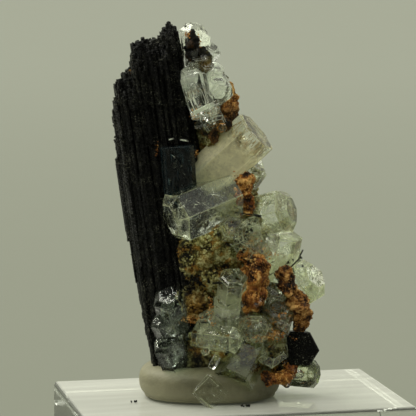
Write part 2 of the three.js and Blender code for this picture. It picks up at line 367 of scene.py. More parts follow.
def needle_places(rng):
    """A six-way lattice, shaken a little, kept where it falls inside the oval."""
    column, row = np.meshgrid(np.arange(-15, 16), np.arange(-13, 14))
    x = BUNDLE_MIDDLE + NEEDLE_PITCH * (column + 0.5 * (row % 2)).ravel()
    y = NEEDLE_PITCH * 0.87 * row.ravel()
    x, y = (v + rng.uniform(-NEEDLE_SHAKE, NEEDLE_SHAKE, v.shape) for v in (x, y))
    kept = from_bundle_middle(x, y) < 1
    return x[kept], y[kept]


def needle_ends(rng):
    """Place, radius, foot and top of each: the skyline less a fall to front and back, some broken short."""
    x, y = needle_places(rng)
    n = len(x)
    radius = rng.uniform(*NEEDLE_RADIUS, n) + THICK_NEEDLE_MORE * (rng.uniform(size=n) > 0.9)
    fall = 4.5 * (y / BUNDLE_HALF_DEPTH) ** 2
    low = np.interp(x - 0.8 * radius, START_X, START_Z)
    high = np.interp(x - 0.3 * radius, SKYLINE_X, SKYLINE_Z) - fall + rng.uniform(-0.9, 0.5, n)
    high = np.minimum(high, HIGHEST)
    broken = (rng.uniform(size=n) > 0.72) & (np.abs(y) > 3.4)
    high -= broken * (high - low) * rng.uniform(0.05, 0.85, n)
    return x, y, radius, low, high


print("the oval holds", len(needle_places(np.random.default_rng(11))[0]), "needles")

# %% [markdown]
# ## From needles to a mesh
# A real needle has a rounded three-sided section and breaks off square in small steps.
# A Curve with a bevel would be round and even. Here each needle is a stack of rings,
# and a step is two rings at one height with different widths. About half of the steps
# lie on cleavage planes that neighbours share, which gives the column its level cracks.

# %% The needles
def step_heights(rng, x, y, low, high, steps):
    """Each ring's share of the needle's length: 0, then every step twice, then 1."""
    slope = 0.35 * rng.normal(size=steps - 1)
    planes = np.linspace(5, 61, steps - 1) + slope * x[:, None] / 3 + 0.3 * y[:, None]
    planes += rng.normal(size=planes.shape) * np.where(rng.uniform(size=planes.shape) > 0.55, 4.0, 0.12)
    cuts = np.sort(np.clip((planes - low[:, None]) / (high - low)[:, None], 0.03, 0.97), axis=1)
    ends = np.zeros((len(x), 1))
    return np.repeat(np.concatenate([ends, cuts, ends + 1], 1), 2, axis=1)[:, 1:-1]


def needle_rings(rng, steps=10, around=8):
    """Rings (needle, ring, point): radius times 1 + a three-sided swell, then shares for each step."""
    x, y, radius, low, high = needle_ends(rng)
    n = len(x)
    angle = np.linspace(0, 2 * np.pi, around, endpoint=False)
    turn = rng.uniform(0, 2 * np.pi, (n, 1))
    section = 1 + 0.07 * np.cos(3 * angle + turn) + rng.uniform(-0.08, 0.08, (n, around))
    height = step_heights(rng, x, y, low, high, steps)
    slim = np.repeat(0.97 + rng.uniform(-1, 1, (n, steps)) * np.linspace(0.08, 0.26, steps), 2, axis=1)
    nudge = np.repeat(rng.uniform(-1, 1, (n, steps, 2)) * np.linspace(0.06, 0.2, steps)[:, None], 2, axis=1)
    r = (radius[:, None] * slim)[..., None] * section[:, None]
    across = r * np.cos(angle) + nudge[..., :1]
    deep = r * np.sin(angle) + nudge[..., 1:]
    along = (low[:, None] + (high - low)[:, None] * height)[..., None] + 0 * r
    tilt = rng.uniform(-0.5, 0.5, (n, 2))
    along[:, -1] += tilt[:, :1] * across[:, -1] + tilt[:, 1:] * deep[:, -1]
    c, s = math.cos(LEAN), math.sin(LEAN)
    return np.stack([
        x[:, None, None] + c * across - s * along,
        y[:, None, None] + deep,
        s * across + c * along,
    ], -1)


needles = needle_rings(np.random.default_rng(11))
schorl = tube_piece("schorl_column_needles", needles, ["schorl_column"])

# %% [markdown]
# ## The black finish
# Tourmaline is glossy where a face is whole and dull where it is worn. Modelling its
# finest grooves would take millions of faces, so they are a bump: noise squeezed
# across the needles and drawn out along them. Grey flecks and dashes are painted
# glints, and iron oxide shows here and there as orange specks.

# %% Black tourmaline's material
NEEDLE_WAY = tuple(turned([-math.sin(LEAN), 0, math.cos(LEAN)]))
SCHORL_INDEX = 1.63
DEEP_BLACK, GROOVE_BLACK = (0.0004, 0.0004, 0.0003), (0.0022, 0.0023, 0.0018)
# the grey is a painted glint colour, the orange a real iron speck
GLINT_GREY, IRON_SPECK = (0.20, 0.20, 0.15), (0.32, 0.12, 0.02)


def drawn_out(paint, where, way, times):
    """Where, with the part along way divided by times: noise there becomes streaks."""
    less = paint.vector("SCALE", way, Scale=paint.along(where, way) * (1 - 1 / times))
    return paint.vector("SUBTRACT", where, less)


def black_tourmaline(name, way, gloss=0.1):
    """way is the direction of the grooves; gloss is the shader's specular level."""
    paint = Paint(name)
    where = paint.place()
    grooves = paint.noise(drawn_out(paint, where, way, 9), 0.2, 4.0, 0.65)
    chips = paint.noise(where, 0.45, 5.0, 0.7)
    high = paint.along(where, UP).rise(30, 55)
    breaks = paint.noise(paint.vector("MULTIPLY", where, (0.5, 0.5, 3.2)), 0.7, 3.0, 0.6, 0.4)
    groups = paint.noise(where, 2.6, 3.0, 0.6).rise(0.42, 0.62)
    flecks = paint.noise(where, 0.22, 2.0, 0.6).rise(0.62, 0.68) * groups
    upright = paint.noise(drawn_out(paint, where, way, 5), 0.22, 2.0, 0.6).rise(0.58, 0.68)
    level = paint.noise(paint.vector("MULTIPLY", where, (0.4, 0.4, 2.6)), 0.5, 2.0, 0.6).rise(0.6, 0.7)
    specks = paint.noise(where, 2.0, 5.0, 0.8).rise(0.725, 0.755)
    # painted glints: grey flecks, and grey dashes along the needles and along level breaks, more of them high
    # up
    painted_gleam = (flecks + upright * groups * 0.26 + level * groups * high * 0.5).clamped()
    black = paint.ramp(grooves, (0.3, DEEP_BLACK), (0.7, GROOVE_BLACK))
    colour = paint.blend(specks, paint.blend(painted_gleam, black, GLINT_GREY), IRON_SPECK)
    normal = paint.bump(grooves * 0.8 + chips + breaks.rise(0.46, 0.54) * high * 0.9, 0.3 * MM)
    rough = (chips.rise(0.35, 0.75) * 0.4 + 0.12 + flecks * 0.3).clamped()
    return paint.done(paint.shader(Base_Color=colour, Roughness=rough, IOR=SCHORL_INDEX,
                                   Specular_IOR_Level=gloss, Normal=normal))


BLACK = black_tourmaline("black_tourmaline", NEEDLE_WAY)
wear(schorl, BLACK)
print("needles run along", [round(v, 3) for v in NEEDLE_WAY])

# %% [markdown]
# ## The stub and its bud
# Low on the right a short, thick tourmaline crystal faces the viewer with its blunt
# end, and a bud sits beside it. A new mesh would only repeat the solid's own faces,
# so a merged copy gets rounded edges, and its grooves run towards the viewer.

# %% The stub
STUB_WAY = tuple(turned([0.04, -0.99, 0.14]))
stub = rounded("schorl_stub_faces", "schorl_stub", 0.22)
wear(stub, black_tourmaline("black_stub", STUB_WAY, 0.05))

# %% [markdown]
# ## Aquamarine crystals
# Beryl grows as six-sided prisms. The sides carry fine grooves along the crystal, the
# end is flat with a chamfer, and growth stops and starts in small steps. A plain
# six-sided cylinder has none of that. So each prism is a stack of rings: an uneven
# six-sided outline that is carried from foot to tip.

# %% Six sides
SIDE_SHARES = {1: [0.0], 5: [0.0, 0.06, 0.36, 0.64, 0.94]}


def six_sides(width, flat, rng, per_side):
    """Corners where neighbouring side lines meet, points between them, and a 1 at each corner."""
    reach = width / 2 * rng.uniform(0.92, 1.04, 6)
    reach[[1, 4]] *= flat
    angle = (np.arange(6) + 0.5) * np.pi / 3
    out = np.stack([np.cos(angle), np.sin(angle)], -1)
    past = np.stack([-np.sin(angle), np.cos(angle)], -1)
    meet = (np.roll(reach, -1) - reach * 0.5) / math.sin(np.pi / 3)
    corner = reach[:, None] * out + meet[:, None] * past
    share = np.array(SIDE_SHARES[per_side])
    outline = np.roll(corner, 1, axis=0)[:, None] * (1 - share)[:, None] + corner[:, None] * share[:, None]
    groove = rng.uniform(-0.009, 0.003, (6, per_side)) * width * (share > 0)
    outline = (outline + groove[..., None] * out[:, None]).reshape(-1, 2)
    return outline, np.tile(share == 0, 6).astype(float) * (per_side > 1)


print("an outline has", len(six_sides(6.0, 1.0, np.random.default_rng(0), 5)[0]), "points")

# %% [markdown]
# ## From outline to prism
# A real prism widens by a hair at each growth step and ends in a chamfer. An Extrude
# and a Bevel would make an even one. Here the outline is repeated at a few heights
# with its own size, and a ring close to each sharp edge keeps that edge crisp. The
# marks say which points lie on an edge, where the material paints a pale highlight.

# %% One prism
NEAR_EDGE = 0.16  # how close to a sharp edge the ring before it lies


def prism_rings(row, rng, per_side, steps):
    """Rings (ring, point, xyz) and edge marks: the outline at each height, a little wider at each step."""
    foot, tip, (width, spin, chamfer, flat) = row[:3], row[3:6], row[6:10]
    length = np.linalg.norm(tip - foot)
    axis = (tip - foot) / length
    front = np.array([0, -1, 0]) + axis * axis[1]
    front /= np.linalg.norm(front)
    side = np.cross(front, axis)
    outline, sharp = six_sides(width, flat, rng, per_side)
    edge = min(chamfer * width, 0.4 * length)
    shoulder, end = length - edge, 1 - edge / (width / 2)
    cuts = np.sort(rng.uniform(0.25, 0.9, steps)) * (shoulder - NEAR_EDGE)
    growth = 0.975 + 0.025 * np.arange(1, steps + 1) / steps
    heights = [[0], np.repeat(cuts, 2), [shoulder - NEAR_EDGE, shoulder, length - edge / 2, length, length]]
    near_end = end * (1 - NEAR_EDGE / width)
    sizes = [[0.9, 0.975], np.repeat(growth, 2)[:-1], [1, 1, (1 + end) / 2, end, near_end]]
    marks = [np.zeros(2 * steps + 1), [0, 1, 0, 1, 0]]
    height, size, mark = (np.concatenate(part)[:, None] for part in (heights, sizes, marks))
    c, s = math.cos(math.radians(spin)), math.sin(math.radians(spin))
    flatly = (outline @ np.array([[c, s], [-s, c]]))[None] * size[..., None]
    rise = height + 0 * flatly[..., 0]
    slope = rng.uniform(-0.06, 0.06, 2)
    rise[-2:] += flatly[-2:] @ slope
    rings = foot + flatly[..., :1] * side + flatly[..., 1:] * front + rise[..., None] * axis
    return rings, np.maximum(mark, sharp) * (per_side > 1)


def prisms(name, rows, stands_for, seed, per_side=5, steps=4):
    """One piece with a prism for each row, and four numbers kept at each point for the material."""
    rows, rng = np.asarray(rows, float), np.random.default_rng(seed)
    rings, marks = (np.stack(part) for part in zip(*(prism_rings(row, rng, per_side, steps) for row in rows)))
    foot, way = rows[:, :3], rows[:, 3:6] - rows[:, :3]
    along = np.einsum("nkmi,ni->nkm", rings - foot[:, None, None], way) / (way ** 2).sum(1)[:, None, None]
    made = tube_piece(name, rings, stands_for)
    bm = bmesh.new()
    bm.from_mesh(made.data)
    bmesh.ops.recalc_face_normals(bm, faces=bm.faces)
    bm.to_mesh(made.data)
    bm.free()
    keep(made, "along", along.ravel())
    keep(made, "edge", marks.ravel())
    keep(made, "milk", np.repeat(rows[:, 10], along[0].size))
    keep(made, "stain", np.repeat(rows[:, 11], along[0].size))
    return made


# %% [markdown]
# ## Where the crystals stand
# Each row is one crystal that the photograph shows clearly, or one that fills the
# back: the middle of its foot, the middle of its tip, the width across its sides, its
# spin about the axis, its chamfer, how flat its section is, and how milky, how stained
# and how cracked it is. Random rows could fill the space, but these carry the likeness.

# %% The crystals, in the specimen's millimetres
TOP = [
    (-3.3, 0.0, 58.8, -2.3, -1.2, 65.4, 4.4, 12, 0.28, 1, 0.34, 0.0, 1.0),
    (-1.8, -0.6, 60.6, -1.2, -2.2, 63.5, 3.0, 20, 0.12, 1, 1.6, 0.0, 0.0),
    (-1.2, -0.6, 58.4, 0.9, -2.0, 61.5, 3.1, 5, 0.12, 1, 0.3, 0.1, 0.4),
    (0.2, -1.4, 54.8, 1.3, -3.2, 58.4, 3.0, 25, 0.12, 1, 1.5, 0.0, 0.0),
    (-0.6, -6.7, 49.8, -2.9, -4.6, 57.4, 4.1, 4, 0.24, 1, -0.3, 0.05, 0.1),
    (0.8, -2.4, 55.8, 2.3, -5.8, 53.0, 4.4, 15, 0.16, 1, 0.6, 0.0, 0.2),
    (-0.4, -2.4, 51.4, 1.4, -5.2, 48.2, 3.8, 28, 0.12, 1, -0.2, 0.2, 0.4),
    (-2.8, -2.4, 55.4, -4.4, -2.6, 64.2, 1.3, 10, 0.1, 0.8, -0.3, 0.1, 0.3),
    (-1.6, -2.6, 57.2, -1.5, -4.0, 60.0, 2.4, 18, 0.12, 0.8, -0.2, 0.2, 0.3),
    (-2.4, -4.0, 52.4, -1.8, -5.8, 49.4, 2.0, 8, 0.12, 0.8, 0.1, 0.2, 0.3),
    (-3.2, -4.0, 55.0, -3.2, -5.2, 57.9, 2.8, 8, 0.1, 0.9, 1.2, 0.0, 0.2),
    (-4.8, -6.2, 45.8, -3.4, -6.2, 45.6, 0.22, 8, 0.1, 0.7, 1.4, 0.0, 0.0),
    (-6.8, -6.2, 45.8, -5.9, -6.2, 46.0, 0.2, 8, 0.1, 0.7, 1.4, 0.0, 0.0),
    (1.2, -3.0, 53.8, 1.7, -4.8, 56.2, 2.4, 22, 0.12, 0.9, 1.6, 0.0, 0.0),
    (-2.8, -7.0, 50.2, 1.9, -6.6, 52.5, 0.7, 8, 0.2, 0.6, 1.2, 0.2, 0.1),
    (-0.8, -2.0, 56.6, -0.1, -4.0, 58.8, 2.4, 30, 0.12, 0.9, -0.2, 0.15, 0.3),
]
FACE = [(4.2, -4.6, 36.2, -6.4, -10.2, 32.4, 8.0, 24, 0.18, 1, -0.6, 0.0, 0.6)]
MILKY = [(-2.2, -1.2, 36.8, 8.5, -3.6, 47.0, 7.2, 4, 0.03, 0.9, 1.24, 0.12, 0.3)]
PLATE = [(-4.5, -7.2, 34.0, -5.3, -7.2, 44.8, 5.2, 0, 0.03, 0.45, 0.0, 0.0, 0.5)]
RIGHT_SMALL = [(6.6, -0.8, 36.8, 8.9, -2.4, 40.6, 3.4, 10, 0.2, 1, 0.1, 0.0, 0.1)]
RIGHT = [
    (6.2, -1.4, 31.0, 14.5, -5.0, 33.5, 7.4, 14, 0.2, 1, 0.55, 0.0, 0.4),
    (5.2, -4.0, 28.4, 7.4, -9.2, 30.0, 4.6, 30, 0.14, 1, -0.2, 0.2, 0.7),
    (3.0, -4.4, 28.6, 4.4, -8.6, 31.2, 4.2, 16, 0.14, 1, 0.1, 0.2, 0.5),
    (7.0, -3.4, 24.2, 8.6, -7.4, 27.6, 5.0, 22, 0.2, 1, 0.1, 0.3, 0.4),
    (12.2, -0.6, 20.6, 13.7, -3.0, 29.0, 5.2, 6, 0.06, 1, 0.8, 0.05, 0.2),
    (13.8, 1.0, 17.8, 18.8, -2.6, 21.6, 7.0, 20, 0.22, 1, 0.45, 0.0, 0.6),
]
LOWER = [
    (3.8, -5.6, 16.6, 4.5, -9.8, 22.8, 4.6, 12, 0.14, 1, 1.0, 0.1, 0.5),
    (3.0, -5.4, 11.6, 3.2, -9.8, 18.6, 4.6, 34, 0.14, 1, 0.6, 0.1, 1.2),
    (-2.0, -6.8, 11.8, 5.7, -11.0, 11.6, 4.2, 8, 0.3, 1, 0.62, 0.0, 0.3),
    (0.8, -5.4, 15.0, 0.2, -9.4, 12.6, 4.8, 30, 0.3, 1, 0.8, 0.0, 0.2),
    (9.4, -3.6, 13.4, 7.6, -9.4, 13.2, 5.0, 25, 0.15, 1, 0.3, 0.1, 0.4),
    (11.8, -2.8, 12.0, 12.1, -6.8, 16.4, 4.8, 10, 0.15, 1, 0.3, 0.4, 0.6),
    (9.6, -2.8, 8.4, 11.2, -8.4, 10.0, 6.0, 18, 0.2, 1, 0.5, 0.2, 0.3),
    (11.0, -2.6, 15.4, 12.0, -6.2, 19.8, 4.4, 5, 0.12, 1, 0.2, 0.2, 0.2),
]
POINT = [(8.6, -3.6, 11.6, 4.2, -9.8, 4.2, 6.6, 8, 0.05, 1, 0.1, 0.1, 0.4)]
LEFT_FOOT = [
    (-5.4, -5.0, 13.2, -6.8, -9.2, 19.2, 5.2, 15, 0.16, 1, 0.7, 0.0, 0.6),
    (-5.0, -5.0, 8.6, -7.8, -8.2, 15.2, 4.6, 5, 0.1, 0.9, 0.5, 0.0, 0.5),
    (-4.8, -5.0, 4.4, -7.2, -8.4, 11.0, 5.0, 24, 0.12, 1, 0.5, 0.0, 0.4),
]
TOE = [(12.6, 0.8, 4.0, 19.2, -2.0, 4.0, 4.8, 18, 0.2, 1, 0.2, 0.2, 0.4)]
CHIP = [(2.0, -11.0, 0.9, -1.4, -10.5, 4.2, 4.2, 8, 0.1, 0.4, 0.1, 0.1, 1.2)]
BACK_UPPER = [
    (0.8, 3.8, 42.6, 4.4, 9.4, 47.4, 5.0, 12, 0.12, 1, 0.2, 0.05, 0.4),
    (2.8, 3.6, 40.4, 8.8, 7.4, 39.6, 4.4, 22, 0.12, 1, 0.5, 0.0, 0.4),
    (1.8, 4.6, 44.0, 3.4, 5.6, 53.0, 3.8, 6, 0.1, 1, 0.1, 0.0, 0.4),
]
BACK_LOWER = [
    (5.0, 1.4, 24.4, 9.4, 10.0, 31.6, 6.4, 8, 0.14, 1, 0.15, 0.1, 0.4),
    (6.0, 0.6, 22.4, 15.2, 7.4, 24.2, 5.6, 25, 0.12, 1, 0.6, 0.05, 0.3),
    (5.0, 1.0, 19.6, 8.6, 10.4, 13.0, 6.6, 14, 0.14, 1, 0.1, 0.1, 0.4),
    (4.6, 1.6, 21.0, 0.2, 10.0, 22.4, 5.0, 4, 0.12, 1, 0.25, 0.0, 0.4),
]
LARGE = {
    "top_prisms": ("aquamarine_top_cluster", TOP),
    "face_prism": ("aquamarine_middle_cluster", FACE),
    "milky_prism": ("aquamarine_middle_cluster", MILKY),
    "blue_plate": ("aquamarine_middle_cluster", PLATE),
    "right_small_prism": ("aquamarine_right_small", RIGHT_SMALL),
    "right_prisms": ("aquamarine_right_cluster", RIGHT),
    "lower_prisms": ("aquamarine_lower_cluster", LOWER),
    "point_prism": ("aquamarine_lower_cluster", POINT),
    "left_foot_prisms": ("aquamarine_left_foot", LEFT_FOOT),
    "toe_prism": ("aquamarine_toe", TOE),
    "chip": ("aquamarine_chip", CHIP),
    "back_upper_prisms": ("aquamarine_back_upper", BACK_UPPER),
    "back_lower_prisms": ("aquamarine_back_lower", BACK_LOWER),
}
print("rows for", sum(len(rows) for _, rows in LARGE.values()), "large crystals")

# %% [markdown]
# ## The large crystals
# A real crystal's edges are worn just enough to catch a thread of light. An edge that
# is perfectly sharp stays dark in a render, so a very narrow Bevel breaks each one.

# %% Making them
crystals = {}
for number, (name, (node, rows)) in enumerate(LARGE.items()):
    crystals[name] = prisms("aquamarine_" + name, rows, [node], 60 + number)
    soften(crystals[name], "worn edges", 0.04, 1, 25)

# %% [markdown]
# ## Small crystals and splinters
# Between the large crystals the specimen is crowded with small ones, from half a
# millimetre to two across. Placing each by hand would add little. They are thrown at
# random into a few zones, and all lean outward from the zone's middle.

# %% Zones of small crystals
ZONES = [
    # middle, half size, number, widths, milk, stain
    ((-1.6, -3.0, 55.0), (2.0, 2.6, 5.5), 26, (0.9, 2.0), 0.15, 0.15),
    ((0.4, -3.5, 48.5), (1.8, 2.0, 1.6), 10, (0.9, 1.9), 0.1, 0.2),
    ((5.0, -5.0, 29.0), (4.5, 2.6, 3.0), 26, (0.8, 2.0), 0.1, 0.2),
    ((9.5, -4.6, 24.5), (3.6, 2.2, 3.4), 22, (0.9, 2.4), 0.25, 0.2),
    ((9.5, -6.0, 14.0), (4.2, 2.2, 5.0), 34, (0.9, 2.4), 0.15, 0.25),
    ((2.5, -7.4, 10.5), (4.5, 2.0, 4.0), 24, (0.8, 2.2), 0.2, 0.2),
    ((10.5, -4.6, 4.6), (4.5, 2.0, 1.6), 16, (0.8, 1.8), 0.15, 0.3),
    ((-6.4, -6.6, 12.2), (1.6, 1.0, 5.5), 14, (0.8, 1.8), -0.3, 0.0),
    ((7.0, 5.0, 22.0), (4.5, 3.5, 8.0), 40, (1.0, 2.6), 0.2, 0.2),
    ((3.4, 5.0, 43.0), (2.4, 2.6, 3.5), 14, (0.8, 2.0), 0.15, 0.1),
]


def splinter_rows(rng):
    """Rows for prisms: feet inside each zone's ellipsoid, tips 1 to 2 widths further out."""
    rows = []
    for middle, half, number, widths, milk, stain in ZONES:
        spot = rng.normal(size=(number, 3))
        spot *= (rng.uniform(0.3, 1, (number, 1)) ** 0.5) / np.linalg.norm(spot, axis=1, keepdims=True)
        foot = np.array(middle) + spot * np.array(half) * 0.8
        width = rng.uniform(*widths, (number, 1))
        way = spot + rng.normal(size=(number, 3)) * 0.5
        way /= np.linalg.norm(way, axis=1, keepdims=True)
        tip = foot + way * width * rng.uniform(0.9, 1.9, (number, 1))
        spin, chamfer = rng.uniform(0, 60, (number, 1)), rng.uniform(0.05, 0.28, (number, 1))
        flat = rng.uniform(0.6, 1.0, (number, 1))
        cloud = np.clip(rng.normal(milk, 0.15, (number, 1)), 0, 1)
        iron = np.clip(rng.normal(stain, 0.12, (number, 1)), 0, 1)
        rows.append(np.concatenate([foot, tip, width, spin, chamfer, flat, cloud, iron], 1))
    return np.concatenate(rows)


splinters = prisms("aquamarine_small_crystals", splinter_rows(np.random.default_rng(5)), (), 75, 1, 1)

# %% [markdown]
# ## Cracks and veils
# Most of what one sees in these crystals is inside: healed cracks that shine like
# thin films. Noise in the glass can't glint from one side only. So each is a thin
# closed lens, wavy and uneven, set in a crystal at a random tilt or along its axis.

# %% Lenses and turns
def lenses(middle, turn, long, wide, rng, around=8, levels=5):
    """From one side's middle out to the rim and back: r is sqrt(1 - level squared), with a wavy rim."""
    level = np.linspace(-1, 1, levels)
    radius = np.sqrt(np.clip(1 - level ** 2, 0.0004, 1))[:, None]
    angle = np.linspace(0, 2 * np.pi, around, endpoint=False)
    wobble = rng.uniform(0.5, 1.15, (len(middle), 1, around))
    x = long[:, None, None] * radius * np.cos(angle) * wobble
    y = wide[:, None, None] * radius * np.sin(angle) * wobble
    z = 0.015 * level[:, None] + 0.2 * (x * x - y * y) / long[:, None, None]
    return middle[:, None, None] + np.einsum("nij,nrsj->nrsi", turn, np.stack([x, y, z], -1))


def random_turns(rng, count):
    """Rotation matrices from random unit quaternions."""
    q = rng.normal(size=(count, 4))
    w, x, y, z = (q / np.linalg.norm(q, axis=1, keepdims=True)).T
    return np.stack([
        1 - 2 * (y * y + z * z), 2 * (x * y - z * w), 2 * (x * z + y * w),
        2 * (x * y + z * w), 1 - 2 * (x * x + z * z), 2 * (y * z - x * w),
        2 * (x * z - y * w), 2 * (y * z + x * w), 1 - 2 * (x * x + y * y),
    ], -1).reshape(count, 3, 3)


def facing(axis, rng):
    """Turns whose first column is the axis and whose other two are spun about it."""
    other = rng.normal(size=axis.shape)
    other -= axis * (other * axis).sum(1, keepdims=True)
    other /= np.linalg.norm(other, axis=1, keepdims=True)
    return np.stack([axis, other, np.cross(axis, other)], -1)


print("a film has", len(tubes((1, 5, 8))), "faces")

# %% [markdown]
# ## Where the films lie
# Cracks are not spread evenly: a large crystal holds more, and a much cracked one
# more still. So a prism is drawn by its volume and its crack number, and the spot
# lies somewhere along its axis and off to one side of it.

# %% Films in the prisms
def inside(rows, count, rng, low, high):
    """Random points in the rows' prisms, with each prism's axis and width: more in large cracked ones."""
    rows = np.asarray(rows, float)
    volume = rows[:, 12] * rows[:, 6] ** 2 * np.linalg.norm(rows[:, 3:6] - rows[:, :3], axis=1)
    host = rows[rng.choice(len(rows), count, p=volume / volume.sum())]
    axis = host[:, 3:6] - host[:, :3]
    off = rng.normal(size=(count, 3))
    off -= axis * (off * axis).sum(1, keepdims=True) / (axis ** 2).sum(1, keepdims=True)
    reach = rng.uniform(0, 1, (count, 1)) ** 0.5 * 0.4 * host[:, 6:7]
    off *= reach / np.linalg.norm(off, axis=1, keepdims=True)
    spot = host[:, :3] + axis * rng.uniform(low, high, (count, 1)) + off
    return spot, axis / np.linalg.norm(axis, axis=1, keepdims=True), host[:, 6]


def films(rows, count, long, wide, rng, part=(0.2, 0.95), on_axis=False, by_width=False, power=1.0):
    """count lenses in part of the rows' prisms, long and wide in millimetres or in prism widths."""
    spot, axis, width = inside(rows, count, rng, *part)
    turn = facing(axis, rng) if on_axis else random_turns(rng, count)
    unit = width if by_width else 1.0
    long = unit * rng.uniform(*long, count) ** power
    return lenses(spot, turn, long, unit * rng.uniform(*wide, count), rng)


# %% [markdown]
# ## Four kinds of film
# Short cracks lie in every large crystal, and wide faint veils cross them. The milky
# prism has fine tubes along its axis, and a few crystals have long bright streaks.
# One piece for each kind lets each have its own finish.

# %% The films
large = [row for _, rows in LARGE.values() for row in rows]
rng = np.random.default_rng(31)
KINDS = {
    "cracks": films(large, 620, (0.12, 0.6), (0.03, 0.14), rng, power=1.3),
    "veils": films(large, 150, (0.12, 0.3), (0.08, 0.2), rng, by_width=True),
    "milky_streaks": films(MILKY, 170, (0.3, 1.1), (0.05, 0.16), rng, (0.62, 0.93), on_axis=True),
    "bright_streaks": np.concatenate([
        films([TOP[4], TOP[0]], 34, (0.9, 2.8), (0.05, 0.15), rng, (0.15, 0.8), on_axis=True),
        films([FACE[0], *RIGHT[:2], *LOWER[:2], *LOWER[:2]], 130, (0.3, 1.3), (0.02, 0.09), rng, (0.3, 0.97)),
        films(PLATE, 16, (0.4, 1.5), (0.04, 0.1), rng, (0.1, 0.9), on_axis=True),
    ]),
}
film_pieces = {kind: tube_piece("aquamarine_" + kind, rings) for kind, rings in KINDS.items()}

# %% [markdown]
# ## Aquamarine as clear glass
# Beryl bends light a little more than window glass. Its pale sea green is a matter
# of depth, because light loses a little red on its way: a Volume Absorption does
# that, where a tinted surface could not. Cracks and bubbles make some zones milky,
# and iron stains fill others. A Mix Shader's factor lays those zones over the clear
# glass. Lamps shine straight through, so nothing behind a crystal goes black.

# %% Clear beryl's material
BERYL_INDEX = 1.575


def milkiness(paint, clouds, spots):
    """Clouds, and more of them where the mesh keeps milk, but less at a prism's foot and tip."""
    along = paint.kept("along")
    milk = paint.kept("milk") * along.rise(-0.1, 0.24)
    evened = (clouds - 0.5) * (0.8 - milk * 0.42) + 0.4
    return (evened + spots * 0.3 + milk * 0.72 - along ** 2.0 * milk * 0.6).rise(0.84, 1.2) * 0.92


def beryl(name, tint, depth, milk, hills=1.0, iron=((96, 62, 20), (176, 120, 40)), index=BERYL_INDEX):
    """tint is what white light becomes after depth millimetres; hills is how uneven the faces are."""
    paint = Paint(name)
    where = paint.place()
    scratches = paint.noise(where, 0.25, 4.0, 0.6)
    waves = paint.noise(where, 1.5, 1.0, 0.4)
    clouds = paint.noise(where, 2.2, 3.0, 0.5, 0.6)
    spots = paint.noise(where, 0.8, 5.0, 0.7)
    wander = paint.node("TexNoise", {}, {"Vector": where, "Scale": 1.4, "Detail": 2.0}, output=1)
    bent = paint.vector("ADD", where, wander)
    net = paint.node("TexVoronoi", {"feature": "DISTANCE_TO_EDGE"}, {"Vector": bent, "Scale": 1.1})
    lines = (1 - net.rise(0.015, 0.06)) * clouds.rise(0.45, 0.62)
    hillocks = paint.node("TexVoronoi", {"distance": "CHEBYCHEV"}, {"Vector": bent, "Scale": 0.75})
    relief = hillocks * clouds.rise(0.3, 0.55) * hills + waves * 0.6 + scratches * 0.08
    normal = paint.bump(relief, 0.09 * MM)
    clear = paint.shader(Base_Color=(1, 1, 1), Transmission_Weight=1.0, IOR=index,
                         Roughness=scratches.rise(0.6, 0.85) * 0.05, Normal=normal)
    white = linear(*milk)
    pale = paint.blend(spots.rise(0.35, 0.7), white, tuple(0.72 * v for v in white))
    skin = paint.shader(Base_Color=pale, Roughness=0.35, Normal=normal)
    cloud = paint.mixed(0.6, skin, paint.node("BsdfTranslucent", {}, {"Color": pale, "Normal": normal}))
    # painted highlight: a pale cloud along the prisms' sharp edges, where light catches them
    painted_edge_glow = paint.kept("edge") ** 2.0 * (clouds.rise(0.3, 0.6) * 0.55 + 0.2)
    cloudy = (milkiness(paint, clouds, spots) + lines * 0.35 + painted_edge_glow).clamped()
    ochre = paint.ramp(spots, (0.35, linear(*iron[0])), (0.6, linear(*iron[1])))
    rust = paint.shader(Base_Color=ochre, Roughness=0.7, Normal=normal)
    rusty = ((spots + paint.kept("stain") * 0.45).rise(0.72, 0.80) * 0.85).clamped()
    body = paint.mixed(rusty, paint.mixed(cloudy, clear, cloud), rust)
    absorbed = {"Color": tuple(1 + math.log(v) for v in tint), "Density": 1000 / depth}
    return paint.done(paint.lamps_pass(body, (0.9, 0.92, 0.9)), paint.node("VolumeAbsorption", {}, absorbed))


# %% [markdown]
# ## Six kinds of beryl
# The crystals differ: most are pale green, the crown is milky white, partly as a
# painted gleam for the light its facets reflect, one prism is creamy, one lies dark
# blue on the column, and the foot's are grey or a dull green, the grey darkened in
# part as painted shade.
# Copies of the material with other numbers keep them one family. The two dark ones
# have a lower refractive index, so that less of the bright room shows in their faces.

# %% The six finishes
GREEN = beryl("beryl_pale_green", (0.91, 0.95, 0.86), 9, (222, 226, 190))
CREAM = beryl("beryl_cream", (0.93, 0.93, 0.78), 8, (248, 243, 212), 0.2, ((120, 84, 34), (196, 150, 66)))
BLUE = beryl("beryl_blue", (0.36, 0.52, 0.60), 0.9, (56, 76, 84), 0.9, index=1.34)
# painted shade: the foot's grey clouds are darker, partly for the shade the foot sits in
GREY = beryl("beryl_grey_painted_shade", (0.72, 0.78, 0.76), 4, (104, 108, 95), 0.6, index=1.45)
DULL = beryl("beryl_dull_green", (0.66, 0.72, 0.50), 5, (120, 124, 82), 0.6)
# painted gleam: the crown's milky white stands partly for the light its facets reflect
WHITE = beryl("beryl_white_painted_gleam", (0.95, 0.97, 0.95), 9, (244, 247, 234), 0.4)
OTHERS = {"top_prisms": WHITE, "milky_prism": CREAM, "blue_plate": BLUE, "left_foot_prisms": GREY,
          "point_prism": DULL, "toe_prism": DULL}
for name, thing in [*crystals.items(), ("small", splinters)]:
    wear(thing, OTHERS.get(name, GREEN))
print(len(crystals) - len(OTHERS) + 1, "pieces wear", GREEN.name)

# %% [markdown]
# ## The films' finish
# A healed crack is a layer of tiny bubbles: it gleams in patches and is clear between
# them. Glass inside glass would bend the light twice, so each film is a mix of a
# glossy shader and a clear one, and noise decides which.

